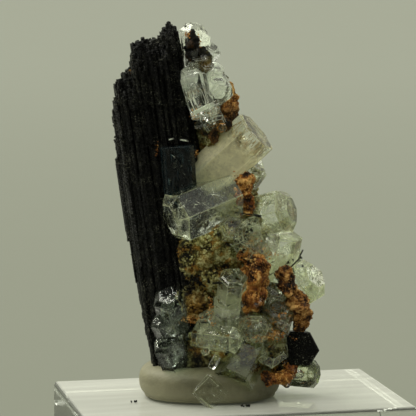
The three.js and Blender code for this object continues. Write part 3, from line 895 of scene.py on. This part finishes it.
# %% Films in patches
def film(name, colour, low, high, most):
    """Gleam where noise rises from low to high, at most this strong, and clear elsewhere."""
    paint = Paint(name)
    mist = paint.noise(paint.place(), 0.35, 3.0, 0.6)
    shade = paint.blend(mist, colour, tuple(0.6 * v for v in colour))
    gleam = paint.shader(Base_Color=shade, Roughness=mist * 0.35)
    clear = paint.node("BsdfTransparent", {}, {"Color": (1, 1, 1)})
    return paint.done(paint.mixed(mist.rise(low, high) * most, clear, gleam))


wear(film_pieces["cracks"], film("healed_crack", (0.85, 0.88, 0.70), 0.2, 0.6, 0.85))
wear(film_pieces["bright_streaks"], film("bright_streak", (0.95, 0.96, 0.84), 0.2, 0.5, 0.9))
wear(film_pieces["veils"], film("thin_veil", (0.70, 0.73, 0.58), 0.45, 0.8, 0.3))
wear(film_pieces["milky_streaks"], film("growth_tube", (0.55, 0.42, 0.22), 0.2, 0.6, 0.8))
print(len(film_pieces), "kinds of film inside the crystals")

# %% [markdown]
# ## Rust and matrix
# Between the crystals sits crumbly rock: iron oxide and tiny feldspar grains. Bump
# alone would leave a smooth outline. So a copy of the solid and a few more ovals is
# remade in small cubes by a Remesh modifier, and its points are pushed in and out by
# noise that numpy works out in whole arrays.

# %% Noise for shapes
def lumpy(points, size, seed):
    """Smooth values from -1 to 1: a random number at each corner of a grid, blended."""
    spot = points / size + 317.0
    cell = np.floor(spot)
    part = spot - cell
    part = part * part * (3 - 2 * part)
    total = np.zeros(len(points))
    for corner in np.ndindex(2, 2, 2):
        wave = np.sin((cell + corner) @ [12.9898, 78.233, 37.719] + 7.13 * seed) * 43758.5453
        weight = np.where(corner, part, 1 - part).prod(-1)
        total += weight * (2 * (wave - np.floor(wave)) - 1)
    return total


def rugged(points, size, seed, octaves=4):
    """Layers of lumpy, each half as wide and 0.55 as high as the last."""
    layers = [0.55 ** k * lumpy(points, size / 2 ** k, seed + k) for k in range(octaves)]
    return sum(layers) / 1.6


def remade(node, cube, lumps=()):
    """The solid and its lumps, remade in cubes of this width: corners, normals, faces."""
    bm = merged(node)
    for at, size in lumps:
        oval = bmesh.ops.create_icosphere(bm, subdivisions=2, radius=1)["verts"]
        spots = seated(np.array([v.co for v in oval]) * size + at)
        for v, spot in zip(oval, spots):
            v.co = spot
    mesh = bpy.data.meshes.new("remade")
    bm.to_mesh(mesh)
    bm.free()
    thing = added("remade", mesh)
    cubes = thing.modifiers.new("cubes", "REMESH")
    cubes.mode = "VOXEL"
    cubes.voxel_size = cube * MM
    seen = thing.evaluated_get(bpy.context.evaluated_depsgraph_get()).to_mesh()
    corners = np.array([v.co for v in seen.vertices])
    normals = np.array([v.normal for v in seen.vertices])
    faces = np.array([list(p.vertices) for p in seen.polygons])
    bpy.data.objects.remove(thing)
    return corners / MM, normals, faces


print("noise at three points:", rugged(np.eye(3), 1.5, 1).round(2))

# %% [markdown]
# ## Grains
# Crumbly rock shows single grains with flat, glinting sides. A particle system could
# strew them, but its copies would not reach the exported mesh. One small polyhedron
# with eight corners is copied as arrays, each copy with its own size and turn.

# %% One grain, and many
GRAIN = np.array([
    [1, 0.1, 0], [-1, 0, 0.1], [0, 1, 0.15], [0.1, -1, 0], [0, 0.1, 1], [0, 0, -1],
    [0.7, 0.65, 0.6], [-0.62, -0.7, 0.6],
])


def grain_shape():
    """The hull of GRAIN's corners as corners and three-sided faces."""
    bm = bmesh.new()
    for corner in GRAIN:
        bm.verts.new(corner)
    bmesh.ops.convex_hull(bm, input=bm.verts)
    bmesh.ops.recalc_face_normals(bm, faces=bm.faces)
    corners, faces = arrays(bm)
    bm.free()
    return corners, np.array(faces)


GRAIN_CORNERS, GRAIN_SIDES = grain_shape()


def strewn(spot, sizes, stretch, rng):
    """The grain's corners at each spot: corners times size and stretch, turned at random."""
    count = len(spot)
    scale = rng.uniform(*sizes, (count, 1, 1)) * rng.uniform(*stretch, (count, 1, 3))
    return spot[:, None] + np.einsum("nij,nkj->nki", random_turns(rng, count), GRAIN_CORNERS * scale)


def grain_faces(count, first=0):
    """Faces of count grains whose corners are numbered from first."""
    starts = first + len(GRAIN) * np.arange(count)
    return (starts[:, None, None] + GRAIN_SIDES).reshape(-1, 3).tolist()


print("one grain has", len(GRAIN_SIDES), "faces")

# %% [markdown]
# ## A crust with grains
# The remade copy is pushed out by noise, and the grains are strewn over its faces,
# more on large faces. High up on the right the real crust is a thin horn, so there
# the points are drawn in to the left. Each point keeps its height, which the
# material turns into painted shade in the pits and a painted highlight on the peaks.

# %% The crust
def drawn_in(corners):
    """Points right of x = 7.5, between z = 24 and 48, moved left by up to 0.55 of their way."""
    x, y, z = unseated(corners * MM).T
    slim = 0.55 * np.clip((x - 7.5) / 3, 0, 1) * np.clip((z - 24) / 4, 0, 1) * np.clip((48 - z) / 8, 0, 1)
    return np.stack([x - slim * (x - 7.5), y, z], -1)


def crust(node, slot, seed, shift, lumps, cube, swell, rough, wave, grains, sizes):
    """swell and rough are millimetres outward; grains is the number per square millimetre."""
    rng = np.random.default_rng(seed)
    corners, normals, faces = remade(node, cube, lumps)
    height = rugged(corners, wave, seed)
    bulge = lumpy(corners, 2.6, seed + 50)
    corners = corners + normals * (swell + rough * (0.8 * height + 0.7 * bulge))[:, None]
    corners = seated(drawn_in(corners) + shift) / MM
    a, b, _, d = np.moveaxis(corners[faces], 1, 0)
    area = np.linalg.norm(np.cross(b - a, d - a), axis=1)
    count = int(grains * area.sum())
    host = faces[rng.choice(len(faces), count, p=area / area.sum())]
    spot = (corners[host] * rng.dirichlet(np.ones(4), count)[..., None]).sum(1)
    grit = strewn(spot, sizes, (0.6, 1.3), rng)
    points = np.concatenate([corners, grit.reshape(-1, 3)]) * MM
    faces = faces.tolist() + grain_faces(count, len(corners))
    made = piece(node + "_crust", points, faces, [node])
    grit_height = np.repeat(0.25 + 0.3 * rng.uniform(size=count), len(GRAIN))
    keep(made, "height", np.concatenate([height, grit_height]))
    return made


RUSTS = {
    # seed, shift, and more ovals as middle and half size
    "rust_top": (3, (-0.1, -0.2, 1.4), []),
    "rust_upper": (4, (-0.8, 0, -0.2), [
        ((3.4, -3.6, 48.4), (1.5, 1.1, 1.4)), ((4.6, -1.2, 54.2), (0.5, 0.5, 1.2)),
        ((1.9, -4.0, 46.6), (1.0, 1.0, 1.2))]),
    "rust_middle": (5, (0, 0, 0), [
        ((6.2, -5.4, 36.4), (1.8, 1.3, 2.6)), ((6.8, -5.0, 34.0), (1.4, 1.2, 1.4)),
        ((5.4, -6.4, 35.6), (1.3, 1.0, 1.2))]),
    "rust_heart": (6, (0, 0, 0), [
        ((6.6, -7.6, 25.6), (1.7, 1.2, 1.2)), ((8.6, -7.4, 21.6), (1.7, 1.3, 2.2)),
        ((6.6, -8.4, 17.4), (0.8, 0.8, 2.2))]),
    "rust_right": (7, (0, 0, 0), [
        ((13.0, -5.6, 22.4), (1.8, 1.2, 1.4)), ((14.6, -5.0, 18.4), (1.6, 1.5, 2.6)),
        ((16.4, -4.6, 14.4), (1.4, 1.2, 2.4))]),
    "rust_foot": (8, (0, 0, 0), [
        ((11.8, -6.6, 4.2), (2.4, 0.9, 0.8)), ((14.6, -5.6, 5.6), (1.2, 1.0, 1.4))]),
}
BEDS = [
    ((-2.6, -5.6, 25.6), (2.4, 1.8, 4.2)), ((-2.4, -6.0, 17.2), (2.2, 1.7, 3.2)),
    ((1.0, -6.6, 21.6), (3.2, 1.6, 2.6)), ((2.6, -5.6, 30.4), (3.0, 1.6, 2.0)),
    ((5.0, -5.6, 8.6), (4.0, 1.8, 4.0)), ((-1.8, -5.4, 8.6), (2.6, 1.8, 4.6)),
    ((-1.4, -2.4, 58.4), (1.5, 1.4, 3.4)), ((-0.4, -2.6, 52.0), (1.6, 1.6, 3.6)),
    ((0.4, -2.6, 46.6), (1.6, 1.6, 2.4)), ((10.6, -4.6, 12.0), (2.6, 1.6, 5.0)),
]
rusts = {node: crust(node, "rust", *row, cube=0.2, swell=0.0, rough=0.8, wave=1.1, grains=7.0,
                     sizes=(0.05, 0.17)) for node, row in RUSTS.items()}
matrix = crust("matrix", "matrix", 20, (0, 0, 0), BEDS, cube=0.40, swell=0.1, rough=0.8, wave=1.5, grains=3.2,
               sizes=(0.12, 0.40))

# %% [markdown]
# ## Crumbly colours
# Rust runs from near black through brown and orange to tan, and the matrix from black
# through olive to pale green. One ramp over height and noise gives that run: the
# height part is painted shade in the pits and a painted highlight on the peaks, and the
# noise part is the crust's own uneven tone. Patches bring in a second mineral, and
# round zones bring in the colours of one place, such as the ochre hollow beside the
# left foot.

# %% Crumbly materials
def crumbly(name, shaded_pit, low, high, lit_peak, spots, zones=()):
    """Screen colours from shaded_pit, painted shade in the pits, to lit_peak, a painted highlight on the
    peaks; patches of spots; and zones as middle, reach, three tones.
    """
    paint = Paint(name)
    where = paint.place()
    cloud = paint.noise(where, 1.6, 5.0, 0.65)
    fine = paint.noise(where, 0.26, 3.0, 0.65)
    # the kept height paints shade in the pits and highlights on the peaks; cloud and fine give uneven tone
    shade = (paint.kept("height") * 0.6 + cloud * 2.2 + fine * 0.9 - 1.12).clamped()
    shaded_pit, low, high, lit_peak, spots = (linear(*tone) for tone in (shaded_pit, low, high, lit_peak, spots))
    colour = paint.ramp(shade, (0.12, shaded_pit), (0.38, low), (0.62, high), (0.9, lit_peak))
    patches = paint.noise(where, 2.0, 4.0, 0.6).rise(0.5, 0.6)
    colour = paint.blend(patches * 0.85, colour, paint.ramp(shade, (0.2, shaded_pit), (0.5, spots), (0.95, high)))
    for middle, reach, tones in zones:
        away = paint.vector("DISTANCE", where, tuple(seated(middle) / MM), output=1)
        zone = 1 - (away + cloud * 5).rise(reach + 1.0, reach + 4.0)
        stops = zip((0.15, 0.45, 0.85), (linear(*tone) for tone in tones))
        colour = paint.blend(zone, colour, paint.ramp(shade, *stops))
    normal = paint.bump(fine + cloud, 0.25 * MM)
    return paint.done(paint.shader(Base_Color=colour, Roughness=0.85, Specular_IOR_Level=0.3, Normal=normal))


# %% [markdown]
# ## Five crumbly finishes
# The rust is not one colour either: bright orange on most crusts and browner on the
# right. The hollow at the crown is painted nearly black as painted shade, and the
# horn is painted dark low down as painted shade and bright orange to tan at its tip
# as painted light.

# %% Rust and matrix colours
# the horn's tip: bright orange to tan, painted light where light falls on it
HORN_TONES = ((84, 46, 14), (172, 112, 46), (228, 186, 116))
OCHRE_TONES = ((26, 15, 4), (88, 60, 16), (160, 120, 50))
MUSTARD_TONES = ((34, 25, 7), (112, 84, 26), (186, 148, 72))
BLACK_TONES = ((6, 6, 4), (20, 19, 11), (84, 78, 44))
ORANGE = crumbly("rust_orange", (28, 14, 4), (96, 56, 20), (172, 112, 44), (232, 188, 116), (122, 64, 26))
BROWN = crumbly("rust_brown", (18, 10, 4), (76, 44, 16), (154, 102, 46), (218, 174, 108), (48, 26, 10))
# painted shade: nearly black for the shade in the hollow at the crown
DARK = crumbly("rust_painted_hollow_shade", (4, 4, 3), (9, 8, 5), (20, 16, 9), (64, 42, 18), (7, 6, 4))
# painted shade: the horn's crust is dark, and its tip takes the lit tones above
HORN = crumbly("rust_horn_painted_shade_and_light", (14, 8, 3), (42, 27, 11), (84, 56, 26), (150, 104, 54), (34, 20, 8),
               [((3.9, -1.4, 53.2), 2.6, HORN_TONES)])
MOSSY = crumbly("matrix_mossy", (11, 10, 4), (64, 58, 24), (130, 122, 66), (196, 194, 146), (150, 104, 34), [
    ((-0.4, -7.2, 25.4), 0.9, MUSTARD_TONES), ((3.4, -7.0, 27.6), 0.4, BLACK_TONES),
    ((-2.2, -7.0, 17.2), 2.4, OCHRE_TONES), ((-1.0, -2.0, 54.6), 8.0, BLACK_TONES),
    ((-1.8, -6.0, 6.0), 3.4, BLACK_TONES), ((5.4, -6.4, 31.0), 1.4, BLACK_TONES),
    ((-0.4, -3.4, 58.0), 0.6, MUSTARD_TONES)])
for node, thing in rusts.items():
    wear(thing, {"rust_right": BROWN, "rust_top": DARK, "rust_upper": HORN}.get(node, ORANGE))
wear(matrix, MOSSY)
print(len(rusts), "rust crusts and", matrix.name, "have their colours")

# %% [markdown]
# ## Crumbs and seams
# Loose grains lie in the seams between crystals, rusty ones and black bits of
# tourmaline, and some have fallen on the slab. They are the same grain again, thrown
# into small zones. Black chips also lie on the bundle's outer needles, at points of
# their own mesh, so that none hangs in the air.

# %% Scattered grains
def around_zones(zones, rng):
    """Normal-distributed spots; each zone is a middle, a spread each way, and a number."""
    return np.concatenate([np.array(m) + rng.normal(size=(n, 3)) * np.array(h) * 0.5 for m, h, n in zones])


def on_the_bundle(points, count, rng):
    """Spots on the bundle's outer needles, more of them high up, where the needles are most broken."""
    x, y, z = points.T
    outer = from_bundle_middle(x + math.tan(LEAN) * z, y) > 0.72
    chance = outer * (z < 61) * np.clip(z - 18, 4, 40)
    return points[rng.choice(len(points), count, p=chance / chance.sum())]


def crumbs(name, spot, sizes, rng):
    """Small grains of random turn and shape, one at each spot."""
    points = strewn(spot, sizes, (0.5, 1.4), rng)
    made = piece(name, seated(points).reshape(-1, 3), grain_faces(len(spot)))
    keep(made, "height", np.repeat(rng.uniform(0.1, 0.7, len(spot)), len(GRAIN)))
    return made


SEAMS = [
    ((-2.6, -8.4, 14.8), (2.6, 0.8, 0.7), 90), ((0.6, -8.8, 16.6), (0.8, 1.0, 3.0), 50),
    ((10.4, -7.8, 11.6), (4.0, 1.2, 0.7), 90), ((12.4, -6.6, 12.6), (1.0, 1.0, 3.4), 60),
    ((11.4, -6.6, 4.0), (3.6, 1.0, 0.9), 70), ((7.4, -8.6, 25.4), (2.6, 1.0, 1.0), 50),
    ((-2.1, -5.4, 43.3), (0.5, 0.5, 0.9), 14), ((5.2, -6.8, 38.6), (0.9, 0.8, 2.4), 30),
    ((-2.0, -6.2, 50.2), (1.0, 0.6, 1.0), 30), ((-3.3, -3.4, 63.6), (0.6, 0.4, 0.5), 34),
    ((-1.5, -3.4, 62.4), (0.4, 0.4, 1.4), 30), ((-8.8, -6.1, 44.3), (0.3, 0.3, 1.3), 16),
    ((-13.4, -3.4, 57.4), (0.5, 0.4, 0.5), 7), ((14.0, -4.6, 6.6), (2.6, 1.0, 1.4), 50),
    ((10.6, -6.4, 25.6), (1.6, 0.8, 1.0), 14),
]
rng = np.random.default_rng(91)
wear(crumbs("rust_crumbs", around_zones(SEAMS, rng), (0.06, 0.20), rng), ORANGE)

BLACK_BITS = [
    ((-1.8, -7.4, 21.4), (3.4, 1.6, 1.5), 150), ((-3.8, -1.6, 65.2), (0.5, 0.5, 0.5), 7),
    ((-3.0, -7.4, 20.0), (2.6, 1.0, 2.6), 60), ((8.0, -8.4, 6.6), (1.6, 0.8, 0.9), 30),
    ((12.6, -6.4, 7.8), (1.6, 1.0, 1.0), 40), ((6.6, -10.8, 0.2), (0.8, 0.5, 0.0), 6),
    ((-13.0, -7.2, 0.2), (0.6, 0.4, 0.0), 3), ((6.0, -8.6, 29.0), (2.4, 1.0, 3.0), 30),
    ((-1.6, -6.0, 9.0), (2.4, 1.0, 3.6), 60), ((14.4, -4.4, 24.4), (1.6, 0.6, 0.8), 14),
    ((-3.0, -3.8, 61.6), (0.8, 0.6, 1.4), 40),
]
CHIPS_ON_BUNDLE = 600
rng = np.random.default_rng(92)
spots = np.concatenate([around_zones(BLACK_BITS, rng),
                        on_the_bundle(needles.reshape(-1, 3), CHIPS_ON_BUNDLE, rng)])
wear(crumbs("schorl_crumbs", spots, (0.09, 0.30), rng), BLACK)

# %% [markdown]
# ## Thin black needles
# A few thin tourmaline needles stick out between the crystals. A Curve with a bevel
# would do, but a rod of three rings is the same tube as before and needs few faces.

# %% The thin needles
NEEDLES = [
    # from, to, radius
    ((4.6, -9.2, 33.6), (8.8, -9.8, 33.1), 0.11), ((7.9, -9.6, 33.2), (9.1, -9.9, 33.0), 0.24),
    ((0.8, -9.6, 21.4), (2.9, -10.2, 21.6), 0.2), ((14.0, -4.4, 23.0), (16.2, -4.0, 25.2), 0.13),
    ((15.9, -4.2, 25.2), (16.5, -4.0, 26.4), 0.12), ((3.0, -9.8, 9.0), (3.9, -10.2, 9.8), 0.2),
    ((9.8, -8.6, 30.0), (10.6, -8.8, 28.8), 0.08), ((-2.6, -8.0, 21.8), (-0.4, -8.6, 20.6), 0.16),
    ((5.4, -8.6, 27.6), (6.0, -9.0, 29.4), 0.1), ((1.8, -9.8, 5.4), (3.4, -10.2, 7.4), 0.08),
]


def rods(rows, around=6):
    """Six-sided rods: a ring of this radius at both ends of each row, and one between."""
    ends = np.array([[a, b] for a, b, _ in rows])
    radius = np.array([r for _, _, r in rows])
    axis = ends[:, 1] - ends[:, 0]
    axis /= np.linalg.norm(axis, axis=1, keepdims=True)
    turn = facing(axis, np.random.default_rng(8))
    angle = np.linspace(0, 2 * np.pi, around, endpoint=False)
    ring = np.stack([0 * angle, np.cos(angle), np.sin(angle)], -1) * radius[:, None, None]
    ring = np.einsum("nij,nkj->nki", turn, ring)
    middles = np.stack([ends[:, 0], ends.mean(1), ends[:, 1]], 1)
    return middles[:, :, None] + ring[:, None]


wear(tube_piece("schorl_thin_needles", rods(NEEDLES)), BLACK)

# %% [markdown]
# ## Putty
# The lump of putty is a flattened pebble, pressed down by the specimen and dented by
# fingers. A sculpted sphere could match it, but one formula keeps it inside the
# solid's box: an oval a little squarer than an ellipse, swollen low down and flatter
# on top, less the dents. Painted light makes it paler low down and on the left.

# %% The putty lump
PUTTY_MIDDLE, PUTTY_HALF_WIDTH, PUTTY_HALF_DEPTH = (0.3, -0.5), 12.8, 10.2
PUTTY_HIGH, PUTTY_REST = 6.6, 0.03
SQUARER = 2.5


def putty_surface(around=160, up=44):
    """Angle u and height angle v: radius cos(v) to a power, height sin(v) to a power, plus dents."""
    u = np.linspace(0, 2 * np.pi, around, endpoint=False)
    v = np.linspace(-np.pi / 2, np.pi / 2, up + 2)[1:-1, None]
    outline = (np.abs(np.cos(u)) ** SQUARER + np.abs(np.sin(u)) ** SQUARER) ** (-1 / SQUARER)
    out = np.cos(v) ** np.where(v < 0, 0.2, 0.42) * outline
    rise = np.sign(np.sin(v)) * np.abs(np.sin(v)) ** 0.8
    x = PUTTY_MIDDLE[0] + PUTTY_HALF_WIDTH * out * np.cos(u)
    y = PUTTY_MIDDLE[1] + PUTTY_HALF_DEPTH * out * np.sin(u)
    z = PUTTY_REST + PUTTY_HIGH * (0.5 + 0.5 * rise) + 0 * x
    points = np.stack([x, y, z], -1)
    spots = points.reshape(-1, 3)
    dents = 1 + (0.35 * lumpy(spots, 6.0, 41) + 0.08 * lumpy(spots, 1.6, 42)).reshape(z.shape)
    points[..., :2] *= (1 - 0.03 * dents * (z > 0.6))[..., None]
    points[..., 2] -= 0.3 * dents * np.clip(rise, 0, 1) ** 2
    return points


putty = tube_piece("putty_lump", putty_surface()[None], ["putty"], smooth=True)

# %% [markdown]
# ## The putty's finish
# Putty is matt and a little greasy, with smears from the hand and fine pores. Noise
# at those two sizes gives the bump, and the larger one the colour as well. Painted
# light makes it paler low down, where light comes up through the slab, and on the
# left, where nothing hangs over it, and less so on the right, in the crystals' shade.

# %% Grey putty
paint = Paint("grey_putty")
where = paint.place()
smears = paint.noise(where, 3.0, 5.0, 0.6)
pores = paint.noise(where, 0.5, 3.0, 0.6)
putty_tone = paint.ramp(smears, (0.3, linear(76, 74, 53)), (0.7, linear(106, 103, 78)))
across, height = paint.along(where, (1, 0, 0)), paint.along(where, UP)
# painted light: paler low down and on the left, less on the right where the crystals shade it
painted_light = (1 - height.rise(12.2, 16.0)) * 0.42 + (1 - across.rise(-18.0, -7.0)) * 0.34
painted_light = (painted_light - across.rise(-2.0, 6.0) * 0.3).clamped()
colour = paint.blend(painted_light, putty_tone, linear(176, 172, 142))
normal = paint.bump(smears * 1.2 + pores * 0.3, 0.25 * MM)
wear(putty, paint.done(paint.shader(Base_Color=colour, Roughness=0.62, Normal=normal)))
print(putty.name, "wears", paint.material.name)

# %% [markdown]
# ## The clear slab
# The slab is cast acrylic with polished faces. Its own solid is right, so a merged
# copy with its edges broken by a bevel is all that its shape needs. What makes it
# look real is a painted pale sheen on the top, in long faint bands, which stands for
# the room's reflection, and clear glass below.

# %% The slab
slab = rounded("slab_block", "slab", 0.25)
ACRYLIC_INDEX = 1.49
paint = Paint("clear_acrylic")
where = paint.place()
wisps = paint.noise(paint.vector("MULTIPLY", where, (0.2, 1.0, 1.0)), 2.2, 4.0, 0.6)
polish = paint.bump(wisps, 0.012 * MM)
glass = paint.shader(Base_Color=(1, 1, 1), Transmission_Weight=1.0, IOR=ACRYLIC_INDEX,
                     Roughness=wisps.rise(0.5, 0.8) * 0.04, Normal=polish)
sheen_bands = paint.noise(paint.vector("MULTIPLY", where, (0.1, 0.7, 1.0)), 2.4, 3.0, 0.5)
# painted reflection: a pale matt sheen on the top faces, in faint bands
painted_gleam = paint.shader(Base_Color=(0.88, 0.88, 0.82), Roughness=0.6, Normal=polish)
facing_up = paint.along(paint.node("NewGeometry", output=1), UP).rise(0.6, 0.95)
painted_sheen_amount = (sheen_bands.rise(0.3, 0.9) * 0.08 + 0.32) * facing_up + 0.02
absorbed = paint.node("VolumeAbsorption", {}, {"Color": (0.90, 0.96, 0.90), "Density": 6.0})
wear(slab, paint.done(paint.lamps_pass(paint.mixed(painted_sheen_amount, glass, painted_gleam), (0.94, 0.95, 0.93)), absorbed))

# %% [markdown]
# ## The floor
# The photograph has a plain grey-green sweep behind. A curved backdrop would show its
# bend from other sides. One large flat card reaches far enough, and its colour is
# painted slowly paler with distance, a painted gradient of light like the sweep's.

# %% The card
CARD_HALF = 12.0
card_mesh = bpy.data.meshes.new("floor")
card_mesh.from_pydata([(-CARD_HALF, -CARD_HALF, 0), (CARD_HALF, -CARD_HALF, 0),
                       (CARD_HALF, CARD_HALF, 0), (-CARD_HALF, CARD_HALF, 0)], [], [(0, 1, 2, 3)])
floor = added("floor", card_mesh)
paint = Paint("grey_green_card")
where = paint.place()
fibres = paint.noise(where, 40.0, 3.0, 0.5)
# painted light: the card's colour grows paler with distance from the specimen
far = paint.vector("LENGTH", where, output=1).rise(-200.0, 1100.0)
card = paint.blend(fibres * 0.08 + far * 0.92, (0.146, 0.154, 0.124), (0.188, 0.197, 0.166))
wear(floor, paint.done(paint.shader(Base_Color=card, Roughness=0.9)))
print("the card is", 2 * CARD_HALF, "m wide")

# %% [markdown]
# ## The lights
# Soft light comes from above on the left, a weaker one from the right and one from
# the front left, so that shadows stay faint. Area lamps near the specimen would leave
# the card uneven. Wide suns light it evenly, and a pale world stands for the room:
# bright behind and above, dark behind the viewer.

# %% Three suns and the room
LAMP_COLOUR = (1.0, 0.995, 0.88)
LAMPS = {
    # from, strength
    "lamp_left": ((-60, 40, 95), 2.2),
    "lamp_right": ((70, 30, 70), 0.9),
    "lamp_front": ((-70, -46, 95), 1.15),
}
for name, (start, strength) in LAMPS.items():
    data = bpy.data.lights.new(name, "SUN")
    data.energy, data.angle, data.color = strength, math.radians(30), LAMP_COLOUR
    towards = seated([0, 0, 0]) - seated(start)
    added(name, data).rotation_euler = Vector(towards).to_track_quat("-Z", "Y").to_euler()

room = Paint("room", "worlds")
way = room.node("TexCoord")
behind = room.along(way, tuple(turned([0, 1, 0]))).rise(-0.35, 0.35)
above = room.along(way, UP).rise(0.35, 0.85)
walls = room.blend(behind, (0.035, 0.035, 0.033), (0.46, 0.475, 0.385))
sky = room.blend(above * 0.9, walls, (1.1, 1.12, 0.96))
glow = room.node("Background", {}, {"Color": sky, "Strength": 1.0})
bpy.context.scene.world = room.done(glow, kind="World")
print(len(LAMPS), "suns and the room")

# %% [markdown]
# ## The camera
# The photograph was taken from a little above, from far off. The slab's corners in it
# give the lens and the tilt: the focal length is 2400 of the picture's points, and the
# picture is 416 of them wide. Light is followed through many layers of glass, so the
# bounces are set high.

# %% The camera and the bounces
DOWN, FAR, AIM = math.radians(7.2), 420, 33.2
FOCAL, PICTURE, SENSOR = 2400, 416, 36
data = bpy.data.cameras.new("camera")
data.lens, data.sensor_width = FOCAL / PICTURE * SENSOR, SENSOR
data.clip_start, data.clip_end = 0.01, 100
camera = added("camera", data)
camera.location = seated(np.array([0, -FAR * math.cos(DOWN), AIM + FAR * math.sin(DOWN)]))
camera.rotation_euler = (math.pi / 2 - DOWN, 0, TURN)
bpy.context.scene.camera = camera

settings = bpy.context.scene.cycles
settings.max_bounces, settings.transmission_bounces, settings.glossy_bounces = 24, 20, 6
settings.transparent_max_bounces = 24
settings.use_denoising = True
bpy.context.scene.view_settings.view_transform = "Standard"
print("the lens is", round(data.lens, 1), "mm")
